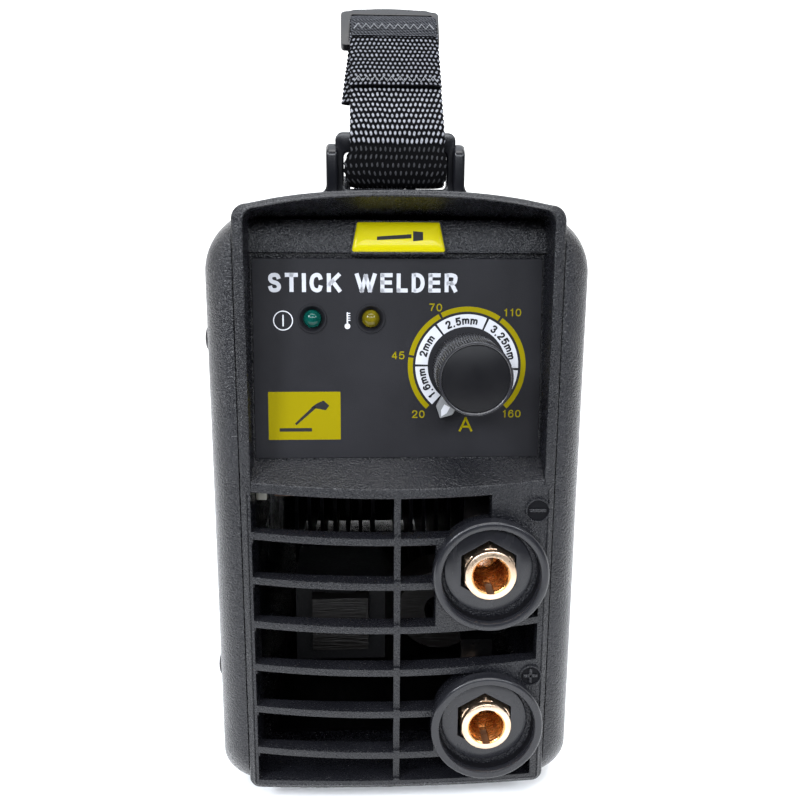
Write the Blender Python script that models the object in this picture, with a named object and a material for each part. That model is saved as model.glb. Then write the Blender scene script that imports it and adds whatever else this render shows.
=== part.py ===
"""Portable inverter stick welder: casing, front controls, output sockets, strap, fan and electronics.

Metres, +Z up. The front faces -Y, the feet stand on Z = 0 and the machine is centred on X = 0.
Depths along Y are counted from the front rim's side edges, and FRONT turns them into world Y.
"""

import math

import bmesh
import bpy
from mathutils import Vector

# Casing
BODY_LENGTH = 0.300
SHELL_HALF = 0.070
SHELL_BOTTOM = 0.0033
SHELL_TOP = 0.2315
SHELL_WALL = 0.0025
SHELL_LOW_RADIUS = 0.011
SHELL_TOP_RADIUS = 0.023
SHELL_NOSE = 0.016
SHELL_START = 0.002
SEAM = 0.0004
CLEAR = 0.0003

# Front and rear rims
RIM_HALF = 0.0581
RIM_WALL = 0.0043
RIM_WALL_LOW = 0.0028
RIM_BOTTOM = 0.008
RIM_DEPTH = 0.028
RIM_STEP = 0.131
RIM_CORNER = 0.006
BULGE = 0.0023
ARCH_TOP = 0.238
ARCH_DROP = 0.0046
ARCH_LIP = 0.0024
HOOD_BACK = 0.2269

# Strap lugs, one on each rim
LUG_HALF = 0.0213
LUG_TOP = 0.258
LUG_FRONT = 0.014
LUG_THICK = 0.006
SLOT_HALF = 0.0183
SLOT_LOW = 0.2386
SLOT_TOP = 0.2513

# Control panel: a plane that leans back, from its foot to its top
PANEL_HALF = 0.0535
PANEL_FOOT = Vector((0.0, 0.0105, 0.1400))
PANEL_TOP = Vector((0.0, 0.0160, 0.2145))
FASCIA_LOW = 0.1299
LIP_TOP = 0.1318

# Amperage dial, as places on the panel plane (across, up from the foot)
DIAL = (0.0256, 0.0349)
KNOB_RADIUS = 0.0131
KNOB_LENGTH = 0.0244418
KNOB_GAP = 0.0026
POINTER_REST = 242.0
SHAFT_RADIUS = 0.003
LAMPS = {"green_lamp": (-0.0314, 0.0524), "amber_lamp": (-0.0100, 0.0524)}
LAMP_RADIUS = 0.0033

# Badge on the brow, leaning back from its foot to its top
BADGE_FOOT = Vector((0.0, 0.0129, 0.2164))
BADGE_TOP = Vector((0.0, 0.0199, 0.2267))
BADGE_HALF_LOW = 0.0169
BADGE_HALF_TOP = 0.0149

# Front grille
GRILLE_HALF = 0.0550
GRILLE_BOTTOM = 0.0111
GRILLE_TOP = 0.1295
GRILLE_BACK = 0.005
SLAT_TOP = 0.1127
SLAT_PITCH = 0.01767
SLAT_THICK = 0.0027
OPENING_LEFT = -0.0543
RIB = (-0.0017, 0.0007)
ROW_RIGHT_ENDS = (0.0343, 0.014, 0.014, 0.0534, 0.0334, 0.014, 0.0527)

# Output sockets
SOCKET_X = 0.0341
SOCKET_HEIGHTS = {"negative": 0.0991, "positive": 0.0367}
FLANGE_RADIUS = 0.0217
FLANGE_FRONT = -0.0073
FLANGE_BACK = -0.0028
BOSS_RADIUS = 0.0205
BOSS_FRONT = -0.00245
NECK_RADIUS = 0.0145
NECK_BACK = 0.017
HEX_HOLE_FLATS = 0.0205
INSERT_FLATS = 0.0198
INSERT_FRONT = -0.0047
INSERT_BACK = 0.024
BORE_RADIUS = 0.0065
BORE_FLOOR = 0.018
BOLT_RADIUS = 0.004
BOLT_TIP = 0.0125
BOLT_HEAD_DEPTH = 0.0290
BUS_BAR_DEPTH = 0.0263
BUS_BAR_END = 0.075

# Side screws
SCREW_DEPTH = 0.0255
SCREW_HEIGHTS = {"lower": 0.0490, "upper": 0.1835}
SCREW_HEAD = 0.0048
SCREW_HEAD_HEIGHT = 0.0022
SCREW_SHANK = 0.0019

# Side vents
VENT_COUNT = 7
VENT_START = 0.190
VENT_PITCH = 0.0085
VENT_WIDTH = 0.0034
VENT_LOW = 0.052
VENT_HIGH = 0.104

# Rear face
FAN_CENTRE = (0.0, 0.078)
FAN_HALF = 0.040
FAN_DEPTH = 0.025
FAN_BLADES = 7
FAN_DUCT = 0.0375
FAN_SLOT_REACH = 0.0365
FAN_SLOT_PITCH = 0.0082
FAN_SLOT_HEIGHT = 0.0052
REAR_PANEL_FRONT = 0.2925
REAR_PANEL_THICK = 0.003
SWITCH_PLACE = (-0.026, 0.178)
GLAND_PLACE = (0.026, 0.178)
GLAND_PROUD = 0.022
ROCKER_TILT = 10.0

# Feet
FOOT_RADIUS = 0.0085
FOOT_X = 0.045
FOOT_DEPTHS = {"front": 0.040, "rear": 0.262}

# Strap
WEB_HALF = 0.0165
WEB_THICK = 0.0017

# Height of the parts standing on the main board
BOARD_TOP = 0.1269

# Corner numbers of a box's six sides, with X counted fastest, then Y, then Z
BOX_SIDES = ((0, 2, 3, 1), (4, 5, 7, 6), (0, 1, 5, 4), (2, 6, 7, 3), (0, 4, 6, 2), (1, 3, 7, 5))

LEAN = math.atan2(PANEL_TOP.y - PANEL_FOOT.y, PANEL_TOP.z - PANEL_FOOT.z)
PANEL_HEIGHT = (PANEL_TOP - PANEL_FOOT).length
DIAL_DEPTH = PANEL_FOOT.y + DIAL[1] * math.sin(LEAN)
KNOB_TIP = DIAL_DEPTH - KNOB_GAP - KNOB_LENGTH
FRONT = -(BODY_LENGTH + GLAND_PROUD + KNOB_TIP) / 2


def clear_scene():
    for item in list(bpy.data.objects):
        bpy.data.objects.remove(item, do_unlink=True)


def finish(name, colour, roughness, metallic=0.0):
    made = bpy.data.materials.new(name)
    made.use_nodes = True
    shader = made.node_tree.nodes["Principled BSDF"]
    shader.inputs["Base Color"].default_value = (*colour, 1.0)
    shader.inputs["Roughness"].default_value = roughness
    shader.inputs["Metallic"].default_value = metallic
    made.diffuse_color = (*colour, 1.0)
    return made


def solid(name, points, faces, look, parent=None):
    """One closed mesh object, shaded smooth with its hard edges kept."""
    mesh = bpy.data.meshes.new(name)
    mesh.from_pydata(points, [], faces)
    build = bmesh.new()
    build.from_mesh(mesh)
    bmesh.ops.recalc_face_normals(build, faces=build.faces)
    build.to_mesh(mesh)
    build.free()
    mesh.shade_smooth()
    mesh.set_sharp_from_angle(angle=math.radians(35))
    mesh.materials.append(look)
    made = bpy.data.objects.new(name, mesh)
    bpy.context.scene.collection.objects.link(made)
    made.parent = parent
    return made


def lofted(name, rings, look, parent=None, closed=False):
    """Rings of equal length skinned in order; the ends are capped, or the last ring meets the first."""
    size = len(rings[0])
    points = [point for ring in rings for point in ring]
    faces = []
    for step in range(len(rings) if closed else len(rings) - 1):
        low = step * size
        high = (step + 1) % len(rings) * size
        for i in range(size):
            j = (i + 1) % size
            faces.append((low + i, low + j, high + j, high + i))
    if not closed:
        faces.append(tuple(range(size)))
        faces.append(tuple(range(len(points) - size, len(points))))
    return solid(name, points, faces, look, parent)


def prism(name, outline, axis, low, high, look, parent=None):
    """A flat outline carried along X, Y or Z. The outline's pairs are the other two axes in order."""
    place = {
        "X": lambda a, b, t: (t, a, b),
        "Y": lambda a, b, t: (a, t, b),
        "Z": lambda a, b, t: (a, b, t),
    }[axis]
    rings = [[place(a, b, t) for a, b in outline] for t in (low, high)]
    return lofted(name, rings, look, parent)


def block(name, low, high, look, parent=None):
    outline = [(low[0], low[1]), (high[0], low[1]), (high[0], high[1]), (low[0], high[1])]
    return prism(name, outline, "Z", low[2], high[2], look, parent)


def turned(name, profile, sides, look, parent=None):
    """A profile of (radius, height) turned about local Z: from axis to axis, or a closed ring."""
    spindle = profile[0][0] == 0.0
    points = []
    loops = []
    for radius, height in profile:
        if radius == 0.0:
            loops.append([len(points)] * sides)
            points.append((0.0, 0.0, height))
            continue
        loops.append(list(range(len(points), len(points) + sides)))
        for i in range(sides):
            turn = math.tau * i / sides
            points.append((radius * math.cos(turn), radius * math.sin(turn), height))
    faces = []
    for step in range(len(loops) - 1 if spindle else len(loops)):
        low = loops[step]
        high = loops[(step + 1) % len(loops)]
        for i in range(sides):
            j = (i + 1) % sides
            corners = list(dict.fromkeys((low[i], low[j], high[j], high[i])))
            faces.append(tuple(corners))
    return solid(name, points, faces, look, parent)


def cylinder(name, radius, low, high, sides, look, parent=None):
    """A plain disc or rod about local Z."""
    return turned(name, [(0.0, low), (radius, low), (radius, high), (0.0, high)], sides, look, parent)


def empty(name, place, turn=(0.0, 0.0, 0.0), parent=None):
    made = bpy.data.objects.new(name, None)
    bpy.context.scene.collection.objects.link(made)
    made.location = place
    made.rotation_euler = turn
    made.parent = parent
    return made


def boolean(target, tool, operation):
    step = target.modifiers.new(f"{operation.lower()} {tool.name}", "BOOLEAN")
    step.operation = operation
    step.solver = "EXACT"
    step.object = tool
    tool.hide_render = True
    tool.display_type = "WIRE"


def cut(target, *tools):
    for tool in tools:
        boolean(target, tool, "DIFFERENCE")


def join(target, *tools):
    for tool in tools:
        boolean(target, tool, "UNION")


def boxes(name, corners, look):
    """Several separate boxes in one object, for cutting a row of openings at once."""
    points = []
    faces = []
    for low, high in corners:
        first = len(points)
        for z in (low[2], high[2]):
            for y in (low[1], high[1]):
                points += [(low[0], y, z), (high[0], y, z)]
        for side in BOX_SIDES:
            faces.append(tuple(first + i for i in side))
    return solid(name, points, faces, look)


def arc(centre, radius, start, stop, steps):
    """Points on an arc, angles in degrees, both ends included."""
    turns = [math.radians(start + (stop - start) * i / steps) for i in range(steps + 1)]
    return [(centre[0] + radius * math.cos(t), centre[1] + radius * math.sin(t)) for t in turns]


def arch(x):
    """Height of the rim's arched top edge."""
    return ARCH_TOP - ARCH_DROP * (abs(x) / 0.052) ** 2.5


def bulge(x):
    """How far the front stands forward of its side edges."""
    return -BULGE * (1 - (x / RIM_HALF) ** 2)


def rim_outline(half_low, half_top, low, top_drop, low_radius, top_radius, flat_top=None):
    """A rim's edge from the bottom centre round by the right side, as (x, z) pairs.

    Its top follows the arch, top_drop below it, unless flat_top gives a level one.
    """
    across = (0.0, 0.018, 0.036)
    right = [(x, low) for x in across]
    right += arc((half_low - low_radius, low + low_radius), low_radius, -90, 0, 3)
    right += [(half_low, RIM_STEP - 0.0002), (half_top, RIM_STEP + 0.0002)]
    shoulder = (flat_top or arch(half_top - top_radius) - top_drop) - top_radius
    right += arc((half_top - top_radius, shoulder), top_radius, 0, 90, 4)
    for x in (0.041, 0.031, 0.020):
        right.append((x, flat_top or arch(x) - top_drop))
    right.append((0.0, flat_top or arch(0.0) - top_drop))
    return right + [(-x, z) for x, z in right[-2:0:-1]]


def shell_outline(half, low, high, low_radius, top_radius):
    """Right half of the casing's section, from the bottom seam up to the top seam."""
    outline = [(SEAM / 2, low), (half * 0.5, low)]
    outline += arc((half - low_radius, low + low_radius), low_radius, -90, 0, 4)
    outline += arc((half - top_radius, high - top_radius), top_radius, 0, 90, 6)
    return outline + [(SEAM / 2, high)]


def shell_ring(depth, side):
    """The C-shaped section of one half shell at a depth, drawn in at the nose and at the tail."""
    from_end = min(depth, BODY_LENGTH - depth) - SHELL_START
    near = max(0.0, 1 - from_end / SHELL_NOSE)
    drawn_in = 1 - math.sqrt(1 - near**2)
    half = SHELL_HALF - 0.0105 * drawn_in
    low = SHELL_BOTTOM + 0.0017 * drawn_in
    high = SHELL_TOP - 0.002 * drawn_in
    top_radius = SHELL_TOP_RADIUS - 0.008 * drawn_in
    outer = shell_outline(half, low, high, SHELL_LOW_RADIUS, top_radius)
    inner = shell_outline(
        half - SHELL_WALL,
        low + SHELL_WALL,
        high - SHELL_WALL,
        SHELL_LOW_RADIUS - SHELL_WALL,
        top_radius - SHELL_WALL,
    )
    return [(side * x, FRONT + depth, z) for x, z in outer + inner[::-1]]


def along_x(name, x, z, depth, radius, length, look):
    """A cylinder along X centred on a place, used for screw holes."""
    made = cylinder(name, radius, -length / 2, length / 2, 12, look)
    made.location = (x, FRONT + depth, z)
    made.rotation_euler = (0.0, math.radians(90), 0.0)
    return made


def screw_depths():
    return {"front": SCREW_DEPTH, "rear": BODY_LENGTH - SCREW_DEPTH}


def rim_notches(guide):
    """Blocks that open the shells' noses and tails for the rims."""
    spans = {
        "front": (-0.02, RIM_DEPTH + CLEAR),
        "rear": (BODY_LENGTH - RIM_DEPTH - CLEAR, BODY_LENGTH + 0.02),
    }
    notches = []
    for end, (near, far) in spans.items():
        low = (-RIM_HALF - CLEAR, FRONT + near, RIM_BOTTOM - CLEAR)
        high = (RIM_HALF + CLEAR, FRONT + far, ARCH_TOP + 0.02)
        notches.append(block(f"notch_{end}", low, high, guide))
    return notches


def side_holes(name, side, guide):
    """Screw holes through one side, front pair first, long enough to reach through shell and rim."""
    holes = []
    for end, depth in screw_depths().items():
        for level, height in SCREW_HEIGHTS.items():
            label = f"{name}_{end}_{level}_hole"
            holes.append(along_x(label, side * 0.065, height, depth, SCREW_SHANK + CLEAR, 0.030, guide))
    return holes


def side_vents(name, side, guide):
    """A row of upright slots beside the heat sinks."""
    slots = []
    for i in range(VENT_COUNT):
        near = FRONT + VENT_START + VENT_PITCH * i
        slots.append(
            (
                (side * SHELL_HALF - 0.008, near, VENT_LOW),
                (side * SHELL_HALF + 0.004, near + VENT_WIDTH, VENT_HIGH),
            )
        )
    return boxes(f"{name}_vents", slots, guide)


def build_shells(look, guide):
    """Both half shells. Returns the screw holes of each side, which also go through the rims."""
    depths = [SHELL_START + SHELL_NOSE * t for t in (0.0, 0.04, 0.14, 0.3, 0.52, 0.76, 1.0)]
    depths += [BODY_LENGTH - depth for depth in depths[::-1]]
    notches = rim_notches(guide)
    holes = {}
    for name, side in (("left", -1), ("right", 1)):
        shell = lofted(f"{name}_shell", [shell_ring(depth, side) for depth in depths], look)
        holes[name] = side_holes(name, side, guide)
        cut(shell, *notches, *holes[name], side_vents(name, side, guide))
    return holes


def lug_wing(name, side, guide):
    """The upright web at one side of a lug, running forward and back from it."""
    low = ARCH_TOP - 0.004
    outline = [
        (0.0115, low),
        (0.0245, low),
        (0.0245, 0.2515),
        (0.0220, 0.2540),
        (0.0140, 0.2540),
        (0.0115, 0.2515),
    ]
    near = side * (LUG_HALF - 0.0004)
    far = side * (LUG_HALF + 0.0032)
    return prism(name, outline, "X", min(near, far), max(near, far), guide)


def build_rim(name, look, guide, low_half):
    """One rim with its hood and strap lug, facing the front. Returns all its parts, the rim first."""
    outer = rim_outline(RIM_HALF, RIM_HALF, RIM_BOTTOM, 0.0, 0.004, RIM_CORNER)
    inner_half = RIM_HALF - RIM_WALL
    inner_front = rim_outline(low_half, inner_half, RIM_BOTTOM + 0.0028, ARCH_LIP, 0.0004, 0.005)
    inner_back = rim_outline(low_half, inner_half, RIM_BOTTOM + 0.0028, 0.0, 0.0004, 0.0008, HOOD_BACK)
    rings = [
        [(x, bulge(x), z) for x, z in outer],
        [(x, RIM_DEPTH, z) for x, z in outer],
        [(x, RIM_DEPTH, z) for x, z in inner_back],
        [(x, bulge(x), z) for x, z in inner_front],
    ]
    rim = lofted(name, rings, look, closed=True)
    plate_low = ARCH_TOP - 0.004
    outline = [(-LUG_HALF, plate_low), (LUG_HALF, plate_low)]
    outline += arc((LUG_HALF - 0.003, LUG_TOP - 0.003), 0.003, 0, 90, 3)
    outline += arc((-LUG_HALF + 0.003, LUG_TOP - 0.003), 0.003, 90, 180, 3)
    lug = prism(f"{name}_lug", outline, "Y", LUG_FRONT, LUG_FRONT + LUG_THICK, guide)
    slot = block(
        f"{name}_slot",
        (-SLOT_HALF, LUG_FRONT - 0.01, SLOT_LOW),
        (SLOT_HALF, LUG_FRONT + LUG_THICK + 0.01, SLOT_TOP),
        guide,
    )
    cut(lug, slot)
    wings = [lug_wing(f"{name}_wing_{i}", side, guide) for i, side in enumerate((-1, 1))]
    join(rim, lug, *wings)
    return [rim, lug, slot, *wings]


def build_rims(look, guide, holes):
    front = build_rim("front_bezel", look, guide, RIM_HALF - RIM_WALL_LOW)
    for item in front:
        item.location.y = FRONT
    rear = build_rim("rear_bezel", look, guide, RIM_HALF - RIM_WALL)
    for item in rear:
        item.location.y = FRONT + BODY_LENGTH
        item.rotation_euler.z = math.pi
    for side in ("left", "right"):
        cut(front[0], *holes[side][:2])
        cut(rear[0], *holes[side][2:])


def build_fascia(look, hole_tools):
    """The recessed control housing in one piece: lip, sloped shelf, leaning panel and rounded brow."""
    rings = []
    for x in (-0.0535, -0.044, -0.030, -0.015, 0.0, 0.015, 0.030, 0.044, 0.0535):
        lip = bulge(x)
        lip_top = LIP_TOP + 0.0017 * (x / 0.054) ** 2
        section = [
            (lip, FASCIA_LOW),
            (lip, lip_top),
            (PANEL_FOOT.y, PANEL_FOOT.z),
            (PANEL_TOP.y, PANEL_TOP.z),
            (0.0146, 0.2150),
            (0.0140, 0.2163),
            (0.0152, 0.2194),
            (0.0180, 0.2232),
            (0.0212, 0.2256),
            (0.0245, 0.2266),
            (0.0245, 0.2240),
            (0.0218, 0.2228),
            (0.0195, 0.2192),
            (0.0187, 0.2145),
            (0.0132, 0.1384),
            (lip + 0.0025, FASCIA_LOW),
        ]
        rings.append([(x, FRONT + y, z) for y, z in section])
    fascia = lofted("control_fascia", rings, look)
    cut(fascia, *hole_tools)


def build_panel(looks, guide):
    """Everything on the leaning panel. Its frame's X is across, Y up the panel and Z out of it."""
    frame = empty(
        "panel_frame",
        (0.0, FRONT + PANEL_FOOT.y, PANEL_FOOT.z),
        (math.radians(90) - LEAN, 0.0, 0.0),
    )
    tools = []
    for name, place, radius in (
        ("shaft_hole", DIAL, SHAFT_RADIUS + 0.0006),
        ("green_hole", LAMPS["green_lamp"], LAMP_RADIUS + CLEAR),
        ("amber_hole", LAMPS["amber_lamp"], LAMP_RADIUS + CLEAR),
    ):
        tool = cylinder(name, radius, -0.02, 0.02, 20, guide, frame)
        tool.location = (*place, 0.0)
        tools.append(tool)
    build_fascia(looks["moulding"], tools)

    overlay = block(
        "control_overlay",
        (-PANEL_HALF + CLEAR, 0.0004, CLEAR),
        (PANEL_HALF - CLEAR, PANEL_HEIGHT - 0.0006, CLEAR + 0.0004),
        looks["overlay"],
        frame,
    )
    cut(overlay, *tools)

    for name, place in LAMPS.items():
        profile = [
            (0.0, -0.006),
            (LAMP_RADIUS, -0.006),
            (LAMP_RADIUS, 0.0012),
            (LAMP_RADIUS * 0.92, 0.0022),
            (LAMP_RADIUS * 0.6, 0.0031),
            (0.0, 0.0034),
        ]
        lamp = turned(name, profile, 20, looks[name], frame)
        lamp.location = (*place, 0.0)
    build_dial(looks, frame)
    low = (-0.048, 0.004, -0.0166)
    high = (0.048, 0.070, -0.0150)
    board = block("control_board", low, high, looks["board"], frame)
    pins_hole = cylinder("pot_pins_hole", 0.0030, -0.02, -0.01, 12, guide, frame)
    pins_hole.location = (*DIAL, 0.0)
    cut(board, pins_hole)


def build_dial(looks, frame):
    """The turning pieces share one level axis, the potentiometer stays with the panel."""
    axis = empty("dial_axis", (*DIAL, 0.0), (LEAN, 0.0, 0.0), frame)
    top = KNOB_GAP + KNOB_LENGTH
    turned(
        "amperage_knob",
        [
            (SHAFT_RADIUS + CLEAR, KNOB_GAP),
            (KNOB_RADIUS, KNOB_GAP),
            (KNOB_RADIUS, top - 0.0010),
            (KNOB_RADIUS - 0.0008, top),
            (KNOB_RADIUS - 0.0016, top),
            (KNOB_RADIUS - 0.0016, top - 0.0016),
            (SHAFT_RADIUS + CLEAR, top - 0.0016),
        ],
        36,
        looks["knob"],
        axis,
    )
    cap_radius = KNOB_RADIUS - 0.0019
    turned(
        "knob_cap",
        [(0.0, top - 0.0013), (cap_radius, top - 0.0013), (cap_radius, top - 0.0004), (0.0, top - 0.0002)],
        36,
        looks["knob"],
        axis,
    )
    root = KNOB_RADIUS + CLEAR
    outline = [(root, -0.0034), (0.0182, -0.0034), (0.0214, 0.0), (0.0182, 0.0034), (root, 0.0034)]
    pointer = prism("knob_pointer", outline, "Z", KNOB_GAP, KNOB_GAP + 0.0022, looks["pointer"], axis)
    pointer.rotation_euler.z = math.radians(POINTER_REST)
    cylinder("knob_shaft", SHAFT_RADIUS, -0.0130, top - 0.0022, 16, looks["steel"], axis)
    bore = SHAFT_RADIUS + CLEAR
    can = [(bore, -0.0045), (0.0085, -0.0045), (0.0085, -0.0140), (bore, -0.0140)]
    turned("potentiometer", can, 24, looks["can"], axis)


def build_badge(look):
    """A domed badge on the brow, wider at its foot."""
    run = BADGE_TOP.y - BADGE_FOOT.y
    rise = BADGE_TOP.z - BADGE_FOOT.z
    frame = empty(
        "badge_frame",
        (0.0, FRONT + BADGE_FOOT.y, BADGE_FOOT.z),
        (math.radians(90) - math.atan2(run, rise), 0.0, 0.0),
    )
    height = math.hypot(run, rise)
    rings = []
    for inset, lift in ((0.0, 0.0), (0.0, 0.0008), (0.0010, 0.0013)):
        rings.append(
            [
                (-BADGE_HALF_LOW + inset, inset, lift),
                (BADGE_HALF_LOW - inset, inset, lift),
                (BADGE_HALF_TOP - inset, height - inset, lift),
                (-BADGE_HALF_TOP + inset, height - inset, lift),
            ]
        )
    lofted("badge", rings, look, frame)


def build_grille(look, guide):
    """Seven rows of openings between slats, a centre rib, and a round boss behind each socket."""
    rings = []
    for x in (-GRILLE_HALF, -0.040, -0.020, 0.0, 0.020, 0.040, GRILLE_HALF):
        near = FRONT + bulge(x)
        far = FRONT + GRILLE_BACK
        rings.append(
            [(x, near, GRILLE_BOTTOM), (x, near, GRILLE_TOP), (x, far, GRILLE_TOP), (x, far, GRILLE_BOTTOM)]
        )
    grille = lofted("front_grille", rings, look)
    corners = []
    for row, right_end in enumerate(ROW_RIGHT_ENDS):
        low = max(SLAT_TOP - row * SLAT_PITCH, GRILLE_BOTTOM + 0.0009)
        high = SLAT_TOP - (row - 1) * SLAT_PITCH - SLAT_THICK + (0.0006 if row == 0 else 0.0)
        for left, right in ((OPENING_LEFT, RIB[0]), (RIB[1], right_end)):
            corners.append(((left, FRONT - 0.01, low), (right, FRONT + 0.02, high)))
    beside_socket = SLAT_TOP - 2 * SLAT_PITCH
    corners.append(((0.047, FRONT - 0.01, beside_socket), (0.0534, FRONT + 0.02, beside_socket + 0.004)))
    cut(grille, boxes("grille_openings", corners, guide))
    for name, height in SOCKET_HEIGHTS.items():
        boss = socket_disc(f"{name}_boss", BOSS_RADIUS, BOSS_FRONT, GRILLE_BACK - 0.0004, height, guide)
        join(grille, boss)
    for name, height in SOCKET_HEIGHTS.items():
        cut(grille, socket_disc(f"{name}_boss_hole", NECK_RADIUS + CLEAR, -0.02, 0.03, height, guide))


def socket_disc(name, radius, near, far, height, look):
    """A disc on a socket's axis, from depth near to depth far."""
    made = cylinder(name, radius, -far, -near, 28, look)
    made.location = (SOCKET_X, FRONT, height)
    made.rotation_euler = (math.radians(90), 0.0, 0.0)
    return made


def hexagon(flats):
    """Corners of a point-up hexagon, from its size across flats."""
    return arc((0.0, 0.0), flats / math.sqrt(3), 30, 330, 5)


def build_socket(name, height, looks, guide):
    frame = empty(f"{name}_axis", (SOCKET_X, FRONT, height), (math.radians(90), 0.0, 0.0))
    flange = turned(
        f"{name}_socket_flange",
        [
            (0.0, -NECK_BACK),
            (NECK_RADIUS, -NECK_BACK),
            (NECK_RADIUS, -FLANGE_BACK),
            (FLANGE_RADIUS, -FLANGE_BACK),
            (FLANGE_RADIUS, -FLANGE_FRONT - 0.0005),
            (FLANGE_RADIUS - 0.0005, -FLANGE_FRONT),
            (FLANGE_RADIUS - 0.0030, -FLANGE_FRONT),
            (0.0180, 0.0028),
            (0.0172, 0.0021),
            (0.0125, 0.0038),
            (0.0, 0.0038),
        ],
        36,
        looks["socket"],
        frame,
    )
    hole = prism(f"{name}_hex_hole", hexagon(HEX_HOLE_FLATS), "Z", -0.03, 0.02, guide, frame)
    cut(flange, hole)
    build_insert(name, frame, looks["brass"], guide)
    build_bolt(name, frame, looks["steel"])
    build_bus_bar(name, frame, looks["copper"], guide)


def build_insert(name, frame, look, guide):
    """The hexagonal metal body of a socket, with its round face ring and its bore."""
    outline = hexagon(INSERT_FLATS)
    insert = prism(f"{name}_socket_insert", outline, "Z", -INSERT_BACK, -INSERT_FRONT, look, frame)
    ring = turned(
        f"{name}_insert_ring",
        [(0.0, -0.002), (0.0095, -0.002), (0.0095, 0.0054), (0.0092, 0.0057), (0.0, 0.0057)],
        28,
        guide,
        frame,
    )
    join(insert, ring)
    bore = cylinder(f"{name}_bore", BORE_RADIUS, -BORE_FLOOR, 0.02, 24, guide, frame)
    bolt_hole = cylinder(f"{name}_bolt_hole", BOLT_RADIUS + CLEAR, -0.04, 0.0, 16, guide, frame)
    cut(insert, bore, bolt_hole)


def build_bolt(name, frame, look):
    """The bolt that holds the bus bar. Its tip stands in the bore."""
    profile = [
        (0.0, -BOLT_HEAD_DEPTH - 0.0050),
        (0.0070, -BOLT_HEAD_DEPTH - 0.0050),
        (0.0070, -BOLT_HEAD_DEPTH),
        (BOLT_RADIUS, -BOLT_HEAD_DEPTH),
        (BOLT_RADIUS, -BOLT_TIP - 0.0005),
        (0.0, -BOLT_TIP),
    ]
    turned(f"{name}_socket_bolt", profile, 16, look, frame)


def build_bus_bar(name, frame, look, guide):
    """A copper strip held under the socket bolt, folded back towards the power board."""
    near = -BUS_BAR_DEPTH
    thick = 0.0020
    outline = [
        (-0.0065, near),
        (0.0200, near),
        (0.0200, -BUS_BAR_END),
        (0.0200 - thick, -BUS_BAR_END),
        (0.0200 - thick, near - thick),
        (-0.0065, near - thick),
    ]
    bar = prism(f"{name}_bus_bar", outline, "X", -0.0065, 0.0065, look, frame)
    hole = cylinder(f"{name}_bar_hole", BOLT_RADIUS + CLEAR, -0.035, -0.02, 16, guide, frame)
    cut(bar, hole)


def build_side_screws(look):
    for side, sign in (("left", -1), ("right", 1)):
        for end, depth in screw_depths().items():
            for level, height in SCREW_HEIGHTS.items():
                screw = turned(
                    f"screw_{side}_{end}_{level}",
                    [
                        (0.0, -0.0150),
                        (SCREW_SHANK, -0.0145),
                        (SCREW_SHANK, 0.0003),
                        (SCREW_HEAD, 0.0003),
                        (SCREW_HEAD, 0.0010),
                        (SCREW_HEAD * 0.78, SCREW_HEAD_HEIGHT),
                        (0.0, SCREW_HEAD_HEIGHT),
                    ],
                    16,
                    look,
                )
                screw.location = (sign * SHELL_HALF, FRONT + depth, height)
                screw.rotation_euler = (0.0, math.radians(90) * sign, 0.0)


def build_feet(look):
    top = SHELL_BOTTOM - CLEAR
    round_off = 0.0006
    profile = [
        (0.0, 0.0),
        (FOOT_RADIUS - round_off, 0.0),
        (FOOT_RADIUS, round_off),
        (FOOT_RADIUS, top),
        (0.0, top),
    ]
    for side, sign in (("left", -1), ("right", 1)):
        for end, depth in FOOT_DEPTHS.items():
            foot = turned(f"foot_{end}_{side}", profile, 20, look)
            foot.location = (sign * FOOT_X, FRONT + depth, 0.0)


def build_rear_panel(look, guide):
    """The flat rear panel, with fan slots, a switch opening and a cable inlet hole."""
    half = RIM_HALF - RIM_WALL - 0.0004
    outline = rim_outline(half, half, RIM_BOTTOM + 0.0032, ARCH_LIP + 0.0034, 0.001, 0.005)
    face = REAR_PANEL_FRONT + REAR_PANEL_THICK
    panel = prism("rear_panel", outline, "Y", FRONT + REAR_PANEL_FRONT, FRONT + face, look)
    corners = []
    for row in range(-4, 5):
        rise = row * FAN_SLOT_PITCH
        reach = math.sqrt(FAN_SLOT_REACH**2 - rise**2)
        low = FAN_CENTRE[1] + rise - FAN_SLOT_HEIGHT / 2
        for left, right in ((-reach, -0.0014), (0.0014, reach)):
            corners.append(((left, FRONT + 0.28, low), (right, FRONT + 0.31, low + FAN_SLOT_HEIGHT)))
    cut(panel, boxes("fan_slots", corners, guide))
    cut(panel, around_switch("switch_opening", 0.0097, 0.0142, 0.28, 0.31, guide))
    hole = cylinder("gland_opening", 0.0088, -0.02, 0.02, 20, guide)
    hole.location = (GLAND_PLACE[0], FRONT + REAR_PANEL_FRONT, GLAND_PLACE[1])
    hole.rotation_euler = (math.radians(90), 0.0, 0.0)
    cut(panel, hole)


def around_switch(name, half_wide, half_high, near, far, look):
    """A box centred on the mains switch, from depth near to depth far."""
    x, z = SWITCH_PLACE
    low = (x - half_wide, FRONT + near, z - half_high)
    high = (x + half_wide, FRONT + far, z + half_high)
    return block(name, low, high, look)


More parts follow.
